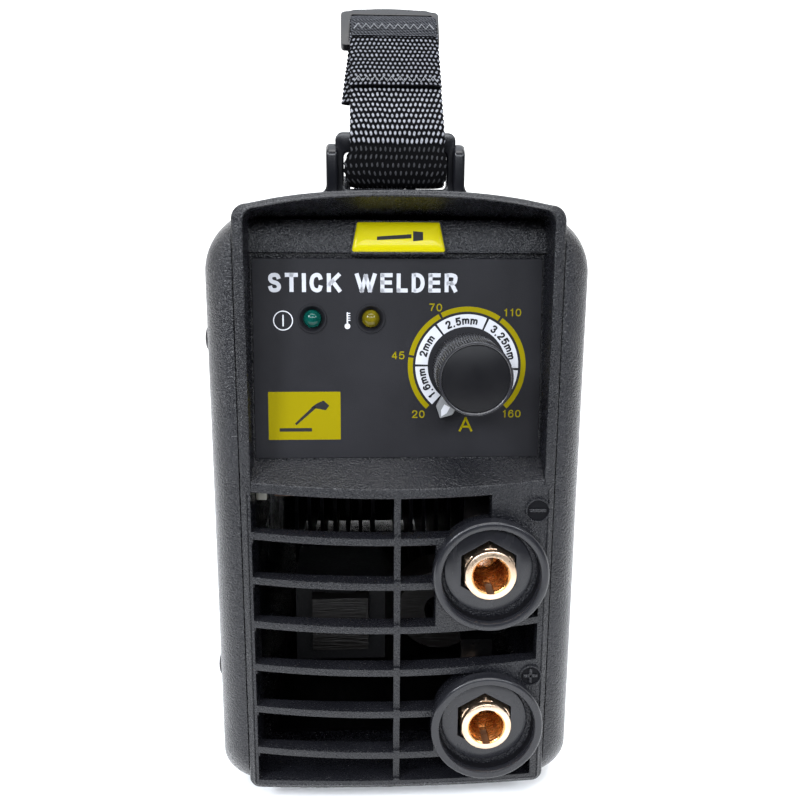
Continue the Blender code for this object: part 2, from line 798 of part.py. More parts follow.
def build_mains_switch(looks, guide):
    """The rocker stands in the switch body's well, its top end pressed in."""
    face = REAR_PANEL_FRONT + REAR_PANEL_THICK
    body = around_switch("mains_switch", 0.0094, 0.0139, face - 0.0200, face + 0.0002, looks["switch"])
    collar = around_switch("switch_collar", 0.0112, 0.0157, face + CLEAR, face + 0.0020, guide)
    link = around_switch("switch_link", 0.0090, 0.0135, face - 0.0010, face + 0.0010, guide)
    well = around_switch("switch_well", 0.0075, 0.0122, face - 0.0090, face + 0.0100, guide)
    join(body, collar, link)
    cut(body, well)

    x, z = SWITCH_PLACE
    pivot = empty("rocker_axis", (x, FRONT + face - 0.0010, z), (math.radians(ROCKER_TILT), 0.0, 0.0))
    outline = [
        (0.0028, -0.0112),
        (0.0052, -0.0107),
        (0.0022, 0.0),
        (0.0052, 0.0107),
        (0.0028, 0.0112),
        (-0.0030, 0.0060),
        (-0.0030, -0.0060),
    ]
    prism("mains_rocker", outline, "X", -0.0070, 0.0070, looks["rocker"], pivot)


def build_gland(looks, guide):
    face = REAR_PANEL_FRONT + REAR_PANEL_THICK
    hub = empty("gland_axis", (GLAND_PLACE[0], FRONT + face, GLAND_PLACE[1]), (math.radians(-90), 0.0, 0.0))
    proud = BODY_LENGTH + GLAND_PROUD - face
    turned(
        "cable_gland",
        [
            (0.0045, -0.0120),
            (0.0085, -0.0120),
            (0.0085, CLEAR),
            (0.0125, CLEAR),
            (0.0125, 0.0050),
            (0.0112, 0.0065),
            (0.0112, 0.0170),
            (0.0085, proud),
            (0.0045, proud),
        ],
        24,
        looks["gland"],
        hub,
    )
    nut = prism("gland_nut", hexagon(0.024), "Z", -0.0083, -0.0034, looks["gland"], hub)
    cut(nut, cylinder("gland_nut_hole", 0.0089, -0.02, 0.02, 24, guide, hub))


def build_fan(looks, guide):
    back = REAR_PANEL_FRONT - 0.0005
    middle = (FAN_CENTRE[0], FRONT + back - FAN_DEPTH / 2, FAN_CENTRE[1])
    axis = empty("fan_axis", middle, (math.radians(90), 0.0, 0.0))
    half = FAN_DEPTH / 2
    low = (-FAN_HALF, -FAN_HALF, -half)
    high = (FAN_HALF, FAN_HALF, half)
    frame = block("fan_frame", low, high, looks["fan"], axis)
    cut(frame, cylinder("fan_duct", FAN_DUCT, -0.02, 0.02, 36, guide, axis))
    for i, (reach, width) in enumerate(((0.0384, 0.0022), (0.0022, 0.0384))):
        low = (-reach, -width, half - 0.0030)
        high = (reach, width, half - 0.0005)
        join(frame, block(f"fan_strut_{i}", low, high, guide, axis))
    join(frame, cylinder("fan_motor_mount", 0.0150, half - 0.0032, half - 0.0003, 24, guide, axis))

    profile = [(0.0, -0.0105), (0.0150, -0.0105), (0.0160, -0.0095), (0.0160, 0.0075), (0.0, 0.0075)]
    rotor = turned("fan_rotor", profile, 28, looks["fan"], axis)
    for i in range(FAN_BLADES):
        join(rotor, fan_blade(f"blade_{i}", math.tau * i / FAN_BLADES, guide, axis))


def fan_blade(name, turn, look, parent):
    """A twisted blade from inside the hub to just short of the duct."""
    rings = []
    for radius, pitch in ((0.0150, 48.0), (0.0250, 38.0), (0.0355, 30.0)):
        chord = 0.0095
        lean = math.radians(pitch)
        ring = []
        for along, thick in ((-1, -1), (1, -1), (1, 1), (-1, 1)):
            across = along * chord * math.cos(lean) - thick * 0.0006 * math.sin(lean)
            rise = along * chord * math.sin(lean) * 0.8 + thick * 0.0006 * math.cos(lean) - 0.0015
            angle = turn + across / radius
            ring.append((radius * math.cos(angle), radius * math.sin(angle), rise))
        rings.append(ring)
    return lofted(name, rings, look, parent)


def build_strap(looks):
    """Front webbing sewn round the front lug, the slide buckle, and the long webbing with its free tail.

    Routes are (depth, height) points chosen by hand. The same loop goes round either lug's bar.
    """
    lug_loop = [(0.0160, 0.2628), (0.0118, 0.2575), (0.0102, 0.2540), (0.0104, 0.2500)]
    lug_loop += [(0.0114, 0.2448), (0.0138, 0.2412), (0.0172, 0.2402), (0.0206, 0.2414)]
    lug_loop += [(0.0227, 0.2446), (0.0231, 0.2500), (0.0238, 0.2580), (0.0262, 0.2670)]
    loop_end = [(0.0310, 0.2752), (0.0433, 0.2884)]
    rise = [(0.0552, 0.3038), (0.0500, 0.2985), (0.0410, 0.2893), (0.0325, 0.2802), (0.0235, 0.2708)]
    front = ribbon("strap_front", rise + lug_loop + loop_end, looks["webbing"])
    fold = [(0.0540, 0.3043), (0.0488, 0.2991), (0.0398, 0.2898), (0.0313, 0.2807), (0.0250, 0.2742)]
    join(front, ribbon("strap_fold", fold, looks["webbing"]))

    frame = empty("buckle_axis", (-0.0007, FRONT + 0.0560, 0.2995), (math.radians(58), 0.0, 0.0))
    look = looks["buckle"]
    buckle = block("strap_buckle", (-0.0198, -0.0085, -0.0016), (0.0198, 0.0085, 0.0016), look, frame)
    for name, low, high in (("lower", -0.0064, -0.0013), ("upper", 0.0013, 0.0064)):
        cut(buckle, block(f"buckle_{name}_gap", (-0.0172, low, -0.01), (0.0172, high, 0.01), look, frame))

    tail = [(0.0300, 0.2655), (0.0380, 0.2740), (0.0455, 0.2812), (0.0530, 0.2885), (0.0578, 0.2950)]
    over = [(0.0640, 0.3018), (0.0720, 0.3078), (0.0820, 0.3118), (0.1000, 0.3155), (0.1250, 0.3180)]
    over += [(0.1500, 0.3190), (0.1750, 0.3178), (0.2000, 0.3140), (0.2200, 0.3085)]
    over += [(0.2400, 0.3000), (0.2580, 0.2860), (0.2700, 0.2735)]
    rear_loop = [(BODY_LENGTH - depth, height) for depth, height in lug_loop + loop_end]
    ribbon("strap_rear", tail + over + rear_loop, looks["webbing"])


def ribbon(name, route, look):
    """Webbing of even thickness along a route of (depth, height) points, as wide as the strap."""
    left = []
    right = []
    for i, point in enumerate(route):
        before = Vector(route[max(i - 1, 0)])
        after = Vector(route[min(i + 1, len(route) - 1)])
        along = (after - before).normalized()
        normal = Vector((-along.y, along.x)) * WEB_THICK / 2
        left.append((FRONT + point[0] + normal.x, point[1] + normal.y))
        right.append((FRONT + point[0] - normal.x, point[1] - normal.y))
    return prism(name, left + right[::-1], "X", -WEB_HALF, WEB_HALF, look)


def build_electronics(looks):
    """Tray, boards and power parts. The cooling tunnel runs front to back below the main board."""
    near = FRONT + 0.036
    far = FRONT + 0.262
    low = 0.0092
    floor = low + 0.0015
    right = [(0.052, low), (0.052, 0.0220), (0.0505, 0.0220), (0.0505, floor)]
    prism("chassis_tray", right + [(-x, z) for x, z in right[::-1]], "Y", near, far, looks["tray"])
    block("main_board", (-0.058, near, 0.1250), (0.058, far, BOARD_TOP - CLEAR), looks["board"])
    heatsink("primary_heatsink", -0.050, -0.006, 0.150, 0.255, looks["alloy"])
    heatsink("secondary_heatsink", 0.006, 0.050, 0.150, 0.255, looks["alloy"])
    build_transformer(looks)
    for i, y in enumerate((0.080, 0.116, 0.152)):
        can = turned(
            f"bulk_capacitor_{i + 1}",
            [(0.0, 0.0), (0.0150, 0.0), (0.0150, 0.0400), (0.0140, 0.0410), (0.0, 0.0410)],
            24,
            looks["capacitor"],
        )
        can.location = (-0.030, FRONT + y, BOARD_TOP)
    bridge = ((0.014, FRONT + 0.190, BOARD_TOP), (0.044, FRONT + 0.222, 0.1420))
    block("rectifier_bridge", *bridge, looks["chip"])
    drive = ((0.010, FRONT + 0.080, BOARD_TOP), (0.040, FRONT + 0.130, 0.1600))
    block("drive_heatsink", *drive, looks["alloy"])


def heatsink(name, left, right, near, far, look):
    """An extruded comb: a base plate with upright fins."""
    low, top, base = 0.0400, 0.1200, 0.1120
    fins = 7
    pitch = (right - left - 0.002) / (fins - 1)
    outline = [(left, top), (left, low)]
    for i in range(fins):
        x = left + i * pitch
        if i:
            outline += [(x, base), (x, low)]
        outline.append((x + 0.002, low))
        if i < fins - 1:
            outline.append((x + 0.002, base))
    outline.append((right, top))
    prism(name, outline, "Y", FRONT + near, FRONT + far, look)


def build_transformer(looks):
    """A ferrite core with its winding, and the output choke, both standing on the tray."""
    low = 0.0112
    centre = -0.024
    near = FRONT + 0.095
    far = FRONT + 0.135
    body = ((centre - 0.022, near, low), (centre + 0.022, far, low + 0.044))
    core = block("transformer_core", *body, looks["ferrite"])
    for name, left in (("left", centre - 0.014), ("right", centre + 0.007)):
        window = ((left, near - 0.015, low + 0.008), (left + 0.007, far + 0.015, low + 0.036))
        cut(core, block(f"core_window_{name}", *window, looks["ferrite"]))
    wound = ((centre - 0.0136, near - 0.007, low + 0.0084), (centre + 0.0136, far + 0.007, low + 0.0356))
    winding = block("transformer_winding", *wound, looks["winding"])
    limb = ((centre - 0.0073, near - 0.0004, low - 0.01), (centre + 0.0073, far + 0.0004, low + 0.06))
    cut(winding, block("winding_core_gap", *limb, looks["winding"]))
    half = 0.011
    profile = [
        (0.008, -half),
        (0.021, -half),
        (0.0225, -half + 0.003),
        (0.0225, half - 0.003),
        (0.021, half),
        (0.008, half),
    ]
    choke = turned("output_choke", profile, 28, looks["copper"])
    choke.location = (0.026, FRONT + 0.112, low + 0.0226)
    choke.rotation_euler = (math.radians(90), 0.0, 0.0)


def main():
    clear_scene()
    guide = finish("guide", (0.8, 0.1, 0.6), 0.5)
    looks = {
        "moulding": finish("black_abs", (0.030, 0.031, 0.035), 0.48),
        "shell": finish("textured_black", (0.034, 0.035, 0.039), 0.55),
        "overlay": finish("charcoal_film", (0.040, 0.041, 0.046), 0.55),
        "knob": finish("knob_black", (0.022, 0.022, 0.024), 0.45),
        "pointer": finish("pointer_grey", (0.22, 0.23, 0.23), 0.5),
        "green_lamp": finish("green_lens", (0.02, 0.30, 0.18), 0.15),
        "amber_lamp": finish("amber_lens", (0.55, 0.38, 0.03), 0.15),
        "badge": finish("badge_yellow", (0.80, 0.68, 0.02), 0.1),
        "socket": finish("socket_black", (0.040, 0.041, 0.044), 0.5),
        "brass": finish("socket_brass", (0.86, 0.62, 0.42), 0.3, 1.0),
        "steel": finish("zinc_steel", (0.55, 0.55, 0.56), 0.35, 1.0),
        "copper": finish("bus_copper", (0.72, 0.36, 0.20), 0.35, 1.0),
        "screw": finish("screw_black", (0.015, 0.015, 0.016), 0.4),
        "rubber": finish("foot_rubber", (0.02, 0.02, 0.02), 0.8),
        "switch": finish("switch_black", (0.02, 0.02, 0.02), 0.35),
        "rocker": finish("rocker_red", (0.45, 0.03, 0.02), 0.3),
        "gland": finish("gland_black", (0.03, 0.03, 0.03), 0.5),
        "fan": finish("fan_black", (0.03, 0.03, 0.03), 0.45),
        "webbing": finish("black_webbing", (0.02, 0.02, 0.022), 0.8),
        "buckle": finish("buckle_black", (0.03, 0.03, 0.033), 0.4),
        "tray": finish("tray_steel", (0.60, 0.61, 0.62), 0.4, 1.0),
        "board": finish("board_green", (0.02, 0.16, 0.07), 0.5),
        "alloy": finish("sink_alloy", (0.72, 0.73, 0.74), 0.4, 1.0),
        "capacitor": finish("can_black", (0.03, 0.03, 0.05), 0.35),
        "chip": finish("chip_black", (0.02, 0.02, 0.02), 0.5),
        "can": finish("pot_metal", (0.50, 0.50, 0.50), 0.4, 1.0),
        "ferrite": finish("ferrite_grey", (0.06, 0.06, 0.065), 0.7),
        "winding": finish("winding_amber", (0.65, 0.33, 0.06), 0.45),
    }
    holes = build_shells(looks["shell"], guide)
    build_rims(looks["moulding"], guide, holes)
    build_panel(looks, guide)
    build_badge(looks["badge"])
    build_grille(looks["moulding"], guide)
    for name, height in SOCKET_HEIGHTS.items():
        build_socket(name, height, looks, guide)
    build_side_screws(looks["screw"])
    build_feet(looks["rubber"])
    build_rear_panel(looks["moulding"], guide)
    build_mains_switch(looks, guide)
    build_gland(looks, guide)
    build_fan(looks, guide)
    build_strap(looks)
    build_electronics(looks)


main()
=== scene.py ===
"""The stick welder's looks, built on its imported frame.

+Z up, and the front faces -Y. Shapes are in millimetres, mostly in casing coordinates (across, depth,
height), where depth counts from the front rim's side edges. FRONT_SPACE or REAR_SPACE puts them in the row
frame, and new_object makes them metres. Materials and lights are in metres.
"""

import math

import bmesh
import bpy
from mathutils import Matrix, Vector


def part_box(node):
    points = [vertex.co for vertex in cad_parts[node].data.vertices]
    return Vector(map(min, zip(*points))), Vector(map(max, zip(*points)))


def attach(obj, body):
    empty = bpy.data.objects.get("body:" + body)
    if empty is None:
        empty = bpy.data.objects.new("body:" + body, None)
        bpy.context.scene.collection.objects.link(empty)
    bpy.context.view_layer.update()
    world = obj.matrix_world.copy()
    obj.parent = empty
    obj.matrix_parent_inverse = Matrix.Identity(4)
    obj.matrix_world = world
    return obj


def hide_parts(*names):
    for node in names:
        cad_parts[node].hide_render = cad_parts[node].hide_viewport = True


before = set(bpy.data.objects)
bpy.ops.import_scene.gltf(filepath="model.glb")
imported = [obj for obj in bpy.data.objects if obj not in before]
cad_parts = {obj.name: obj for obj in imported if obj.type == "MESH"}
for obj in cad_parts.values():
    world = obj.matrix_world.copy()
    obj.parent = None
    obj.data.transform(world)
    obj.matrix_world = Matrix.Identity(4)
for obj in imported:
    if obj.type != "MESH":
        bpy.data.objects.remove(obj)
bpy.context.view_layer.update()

MM = 0.001
SIDES = (("left", -1), ("right", 1))

# Casing
BULGE = 2.3
RIM_HALF = 58.1
RIM_WALL = 4.3
RIM_WALL_LOW = 2.8
RIM_BOTTOM = 8
RIM_FLOOR = 10.8
RIM_DEPTH = 28
RIM_STEP = 131
RIM_CORNER = 5.5
ARCH_TOP = 238
ARCH_DROP = 4.6
ARCH_LIP = 2.4
HOOD_BACK = 226.9
SHELL_HALF = 70
SHELL_BOTTOM = 3.3
SHELL_TOP = 231.5
SHELL_WALL = 2.5
SHELL_LOW_RADIUS = 11
SHELL_TOP_RADIUS = 23
SHELL_NOSE = 16
SHELL_START = 2
SEAM = 0.4
SCREW_DEPTH = 25.5
SCREW_HEIGHTS = {"lower": 49, "upper": 183.5}

# Strap lug
LUG_SHIFT = -1.2
LUG_HALF = 21.3
LUG_TOP = 258
LUG_FRONT = 14
LUG_THICK = 6
SLOT_HALF = 18.3
SLOT_LOW = 238.6
SLOT_TOP = 251.3

# Control panel, as (depth, height) of its foot and top
PANEL_FOOT = (10.5, 140)
PANEL_TOP = (16, 214.5)
PANEL_HALF = 53.8
LIP_BOTTOM = 129.6
LIP_TOP = 131.8
FILM = 0.7
DIAL = (25.6, 34.9)
KNOB_RADIUS = 13.1
KNOB_GAP = 2.6
KNOB_LENGTH = 24.4
POINTER_REST = 242
LAMPS = {"green_lamp": (-31.4, 52.4), "amber_lamp": (-10, 52.4)}
LAMP_RADIUS = 3.3

# Grille and sockets
GRILLE_HALF = RIM_HALF - RIM_WALL_LOW
GRILLE_BACK = 5
SLAT_TOP = 112.7
SLAT_PITCH = 17.67
SLAT_THICK = 2.7
OPENING_LEFT = -54.3
RIB = (-1.7, 0.7)
ROW_RIGHT_ENDS = (34.3, 14, 14, 53.4, 33.4, 14, 52.7)
SOCKET_X = 34.1
SOCKET_HEIGHTS = {"negative": 99.1, "positive": 36.7}

# Brow: a round section from its foot up, as (depth, height) of the foot and the radius of the curve
BROW_FOOT = (14, 216.3)
BROW_RADIUS = 19.5
BROW_TOP = 227.7

# Strap and its slide
WEB_HALF = 16.5
WEB_THICK = 1.5
SLIDE_CENTRE = (-1.9, 56, 299.5)
SLIDE_TILT = 58
STRAP_SHIFT = -0.7

# Camera: its place from the casing's front, angles in degrees, and lens
CAMERA_PLACE = (-14.47, -299.33, 229.9)
CAMERA_PITCH = 12.262
CAMERA_TURN = 2.806
CAMERA_ROLL = 0.348
CAMERA_LENS = 38.49

LEAN = math.degrees(math.atan2(PANEL_TOP[0] - PANEL_FOOT[0], PANEL_TOP[1] - PANEL_FOOT[1]))
PANEL_HEIGHT = math.dist(PANEL_FOOT, PANEL_TOP)
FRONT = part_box("front_bezel")[0].y / MM + BULGE
BODY_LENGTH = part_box("rear_bezel")[1].y / MM - BULGE - FRONT


def placed(x, y, z, turn=0.0, axis="X", space=Matrix.Translation((0.0, FRONT * MM, 0.0))):
    """A space moved by x, y and z in millimetres, then turned by degrees about one of its own axes."""
    move = Matrix.Translation((x * MM, y * MM, z * MM))
    return space @ move @ Matrix.Rotation(math.radians(turn), 4, axis)


FRONT_SPACE = placed(0.0, 0.0, 0.0)
REAR_SPACE = placed(0.0, BODY_LENGTH, 0.0, 180.0, "Z")
PANEL_SPACE = placed(0.0, *PANEL_FOOT, 90.0 - LEAN)
DIAL_SPACE = placed(*DIAL, 0.0, LEAN, space=PANEL_SPACE)


# ---------------------------------------------------------------- meshes


def new_object(name, points, faces, look, space=FRONT_SPACE, smooth=35, uvs=None, printed_flat=False):
    """A mesh object at the origin, from points in a space, in millimetres."""
    mesh = bpy.data.meshes.new(name)
    mesh.from_pydata([tuple(space @ Vector([n * MM for n in p])) for p in points], [], faces)
    if uvs:
        layer = mesh.uv_layers.new(name="UVMap")
        for loop in mesh.loops:
            layer.data[loop.index].uv = uvs[loop.vertex_index]
    mesh.materials.append(look)
    made = bpy.data.objects.new(name, mesh)
    bpy.context.scene.collection.objects.link(made)
    if not printed_flat:
        tidy_mesh(made, smooth)
    return made


def tidy_mesh(made, smooth=35):
    """Outward normals, smooth faces and sharp edges above the given angle."""
    build = bmesh.new()
    build.from_mesh(made.data)
    bmesh.ops.remove_doubles(build, verts=build.verts, dist=1e-6)
    bmesh.ops.recalc_face_normals(build, faces=build.faces)
    build.to_mesh(made.data)
    build.free()
    made.data.shade_smooth()
    made.data.set_sharp_from_angle(angle=math.radians(smooth))


def keep(made, body="machine", nodes=()):
    """The piece moves with a body and stands for these CAD nodes."""
    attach(made, body)
    if nodes:
        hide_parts(*nodes)
    return made


def skin(rings, closed=False):
    """Points and faces of rings of equal length, capped at both ends unless the last meets the first."""
    size = len(rings[0])
    points = [point for ring in rings for point in ring]
    faces = []
    for step in range(len(rings) if closed else len(rings) - 1):
        low = step * size
        high = (step + 1) % len(rings) * size
        for i in range(size):
            j = (i + 1) % size
            faces.append((low + i, low + j, high + j, high + i))
    if not closed:
        faces.append(tuple(range(size)))
        faces.append(tuple(range(len(points) - size, len(points))))
    return points, faces


def lofted(name, rings, look, space=FRONT_SPACE, closed=False, smooth=35):
    points, faces = skin(rings, closed)
    return new_object(name, points, faces, look, space, smooth)


def turned(name, profile, look, space, sides=64, shape=None, smooth=35):
    """A profile of (radius, height) turned about Z. shape(radius, height, angle) can change a radius."""
    spindle = profile[0][0] == 0
    rings = []
    for radius, height in profile:
        ring = []
        for i in range(sides):
            turn = math.tau * i / sides
            reach = shape(radius, height, turn) if shape else radius
            ring.append((reach * math.cos(turn), reach * math.sin(turn), height))
        rings.append(ring)
    if not spindle:
        return lofted(name, rings, look, space, True, smooth)
    points = [point for ring in rings[1:-1] for point in ring]
    faces = skin(rings[1:-1])[1][:-2]
    for end, first in ((profile[0], 0), (profile[-1], len(points) - sides)):
        tip = len(points)
        points.append((0, 0, end[1]))
        faces += [(first + i, first + (i + 1) % sides, tip) for i in range(sides)]
    return new_object(name, points, faces, look, space, smooth)


def rod(radius, low, high):
    """The profile of a plain round rod."""
    return [(0, low), (radius, low), (radius, high), (0, high)]


def block(name, low, high, look, space=FRONT_SPACE):
    corners = [(low[0], low[1]), (high[0], low[1]), (high[0], high[1]), (low[0], high[1])]
    return lofted(name, [[(x, y, z) for x, y in corners] for z in (low[2], high[2])], look, space)


def prism(name, outline, axis, low, high, look, space=FRONT_SPACE):
    """A flat outline carried along X, Y or Z. The outline's pairs are the other two axes in order."""
    place = {
        "X": lambda a, b, t: (t, a, b),
        "Y": lambda a, b, t: (a, t, b),
        "Z": lambda a, b, t: (a, b, t),
    }[axis]
    return lofted(name, [[place(a, b, t) for a, b in outline] for t in (low, high)], look, space)


def cut(target, *tools):
    """Cuts the tools out of the target. The tools go afterwards."""
    for tool in tools:
        step = target.modifiers.new("cut", "BOOLEAN")
        step.operation = "DIFFERENCE"
        step.solver = "EXACT"
        step.object = tool
    graph = bpy.context.evaluated_depsgraph_get()
    target.data = bpy.data.meshes.new_from_object(target.evaluated_get(graph))
    target.modifiers.clear()
    for tool in tools:
        bpy.data.objects.remove(tool, do_unlink=True)
    tidy_mesh(target)


def ease(made, width, steps=2, angle=40, where=None):
    """Rounds the edges sharper than an angle, or only those whose middle passes where(point), in mm."""
    build = bmesh.new()
    build.from_mesh(made.data)
    bmesh.ops.dissolve_limit(
        build, angle_limit=math.radians(0.04), verts=build.verts, edges=build.edges, delimit=set()
    )
    chosen = []
    for edge in build.edges:
        if len(edge.link_faces) != 2 or edge.calc_face_angle() < math.radians(angle):
            continue
        middle = (edge.verts[0].co + edge.verts[1].co) / 2
        if where is None or where(middle / MM):
            chosen.append(edge)
    rounding = {"offset": width * MM, "segments": steps, "profile": 0.5, "clamp_overlap": True}
    bmesh.ops.bevel(build, geom=chosen, affect="EDGES", **rounding)
    build.to_mesh(made.data)
    build.free()
    tidy_mesh(made, 30)
    return made


def cos_sin(turn):
    """The cosine and sine of an angle in degrees."""
    return math.cos(math.radians(turn)), math.sin(math.radians(turn))


def arc(centre, radius, start, stop, steps):
    """Points on an arc, angles in degrees, both ends included."""
    points = [cos_sin(start + (stop - start) * i / steps) for i in range(steps + 1)]
    return [(centre[0] + radius * x, centre[1] + radius * y) for x, y in points]


def rounded_rectangle(left, right, low, high, radius, steps=6):
    corners = ((right, low, -90), (right, high, 0), (left, high, 90), (left, low, 180))
    outline = []
    for x, y, start in corners:
        centre = (x - radius if x == right else x + radius, y - radius if y == high else y + radius)
        outline += arc(centre, radius, start, start + 90, steps)
    return outline


def curve_point(points, stretch, t):
    """A point of the smooth (Catmull-Rom) curve through the points, at t of 0 to 1 in a stretch."""
    last = len(points) - 1
    a, b, c, d = (Vector(points[min(max(stretch + k, 0), last)]) for k in (-1, 0, 1, 2))
    return 0.5 * (2 * b + (c - a) * t + (2 * a - 5 * b + 4 * c - d) * t**2 + (3 * b - a - 3 * c + d) * t**3)


def softened(points, radii, steps=4):
    """A closed outline of (a, b) pairs with each corner rounded by its own radius."""
    outline = []
    count = len(points)
    for i, radius in enumerate(radii):
        here = Vector(points[i])
        if radius == 0:
            outline.append(tuple(here))
            continue
        before = (Vector(points[i - 1]) - here).normalized()
        after = (Vector(points[(i + 1) % count]) - here).normalized()
        half = before.angle(after) / 2
        reach = radius / math.tan(half)
        start = here + before * reach
        stop = here + after * reach
        for step in range(steps + 1):
            t = step / steps
            outline.append(tuple(start * (1 - t) ** 2 + here * 2 * t * (1 - t) + stop * t**2))
    return outline


# ---------------------------------------------------------------- materials


def wire(tree, value, socket):
    if isinstance(value, bpy.types.NodeSocket):
        tree.links.new(value, socket)
    else:
        socket.default_value = value


def maths(tree, operation, *values):
    node = tree.nodes.new("ShaderNodeMath")
    node.operation = operation
    for i, value in enumerate(values):
        wire(tree, value, node.inputs[i])
    return node.outputs[0]


def noise(tree, scale, detail=2.0, roughness=0.5, stretch=(1.0, 1.0, 1.0)):
    """Noise in the object's own space. scale is features per metre."""
    place = tree.nodes.new("ShaderNodeTexCoord").outputs["Object"]
    sized = tree.nodes.new("ShaderNodeMapping")
    sized.inputs["Scale"].default_value = stretch
    tree.links.new(place, sized.inputs["Vector"])
    node = tree.nodes.new("ShaderNodeTexNoise")
    node.inputs["Scale"].default_value = scale
    node.inputs["Detail"].default_value = detail
    node.inputs["Roughness"].default_value = roughness
    tree.links.new(sized.outputs["Vector"], node.inputs["Vector"])
    return node.outputs["Fac"]


def ranged(tree, value, low, high, to_low, to_high, smooth=False):
    node = tree.nodes.new("ShaderNodeMapRange")
    if smooth:
        node.interpolation_type = "SMOOTHSTEP"
    for name, number in zip(("From Min", "From Max", "To Min", "To Max"), (low, high, to_low, to_high)):
        node.inputs[name].default_value = number
    wire(tree, value, node.inputs["Value"])
    return node.outputs["Result"]


def blended(tree, factor, one, other):
    """Colour one where factor is 0, the other where it is 1."""
    node = tree.nodes.new("ShaderNodeMix")
    node.data_type = "RGBA"
    wire(tree, factor, node.inputs["Factor"])
    wire(tree, one if isinstance(one, bpy.types.NodeSocket) else (*one, 1.0), node.inputs["A"])
    wire(tree, other if isinstance(other, bpy.types.NodeSocket) else (*other, 1.0), node.inputs["B"])
    return node.outputs["Result"]


def material(name, colour, roughness, metallic=0.0, **sockets):
    made = bpy.data.materials.new(name)
    made.use_nodes = True
    shader = made.node_tree.nodes["Principled BSDF"]
    shader.inputs["Base Color"].default_value = (*colour, 1.0)
    shader.inputs["Roughness"].default_value = roughness
    shader.inputs["Metallic"].default_value = metallic
    for socket, value in sockets.items():
        shader.inputs[socket.replace("_", " ")].default_value = value
    made.diffuse_color = (*colour, 1.0)
    return made, made.node_tree, shader


def raised(tree, shader, height, distance, strength=1.0):
    """Bumps the surface by a height, from 0 to 1, over a real distance."""
    node = tree.nodes.new("ShaderNodeBump")
    node.inputs["Strength"].default_value = strength
    node.inputs["Distance"].default_value = distance
    wire(tree, height, node.inputs["Height"])
    tree.links.new(node.outputs["Normal"], shader.inputs["Normal"])


def grained_plastic(name, colour, roughness, grain, depth, vary=0.08, shine=0.38):
    """Moulded plastic with a spark-eroded grain: fine pits, and a gloss that drifts a little."""
    made, tree, shader = material(name, colour, roughness, Specular_IOR_Level=shine)
    fine = noise(tree, grain, 2.0, 0.55)
    drift = noise(tree, 45.0, 2.0)
    gloss = maths(tree, "ADD", ranged(tree, drift, 0.3, 0.7, -vary, vary), roughness)
    speck = ranged(tree, fine, 0.35, 0.75, -0.07, 0.09)
    tree.links.new(maths(tree, "ADD", gloss, speck), shader.inputs["Roughness"])
    share = ranged(tree, drift, 0.35, 0.65, 0.0, 1.0)
    tone = blended(tree, share, [c * 0.9 for c in colour], [c * 1.12 for c in colour])
    tree.links.new(tone, shader.inputs["Base Color"])
    raised(tree, shader, fine, depth)
    return made


def smooth_plastic(name, colour, roughness, shine=0.5):
    """Moulded plastic without grain, only faint flow marks."""
    made, tree, shader = material(name, colour, roughness, Specular_IOR_Level=shine)
    flow = noise(tree, 160.0, 3.0, 0.55, (1.0, 0.4, 0.4))
    gloss = ranged(tree, flow, 0.3, 0.7, roughness - 0.05, roughness + 0.06)
    tree.links.new(gloss, shader.inputs["Roughness"])
    raised(tree, shader, flow, 0.00003)
    return made


def machined_metal(name, colour, roughness, stretch=(1.0, 1.0, 1.0), scale=900.0, depth=0.00002):
    """Bare metal with fine tool marks and slight tarnish."""
    made, tree, shader = material(name, colour, roughness, 1.0)
    marks = noise(tree, scale, 4.0, 0.6, stretch)
    stain = noise(tree, 130.0, 3.0)
    gloss = ranged(tree, marks, 0.3, 0.7, roughness - 0.08, roughness + 0.10)
    tree.links.new(gloss, shader.inputs["Roughness"])
    tarnished = [c * share for c, share in zip(colour, (0.86, 0.80, 0.74))]
    tone = blended(tree, ranged(tree, stain, 0.35, 0.7, 0.0, 1.0), colour, tarnished)
    tree.links.new(tone, shader.inputs["Base Color"])
    raised(tree, shader, marks, depth)
    return made


def print_ink(name, colour):
    """Screen-printed ink: nearly flat, with a slight orange-peel sheen."""
    made, tree, shader = material(name, colour, 0.42, Specular_IOR_Level=0.06)
    peel = noise(tree, 2200.0, 2.0)
    tree.links.new(ranged(tree, peel, 0.3, 0.7, 0.36, 0.5), shader.inputs["Roughness"])
    raised(tree, shader, peel, 0.00001)
    return made


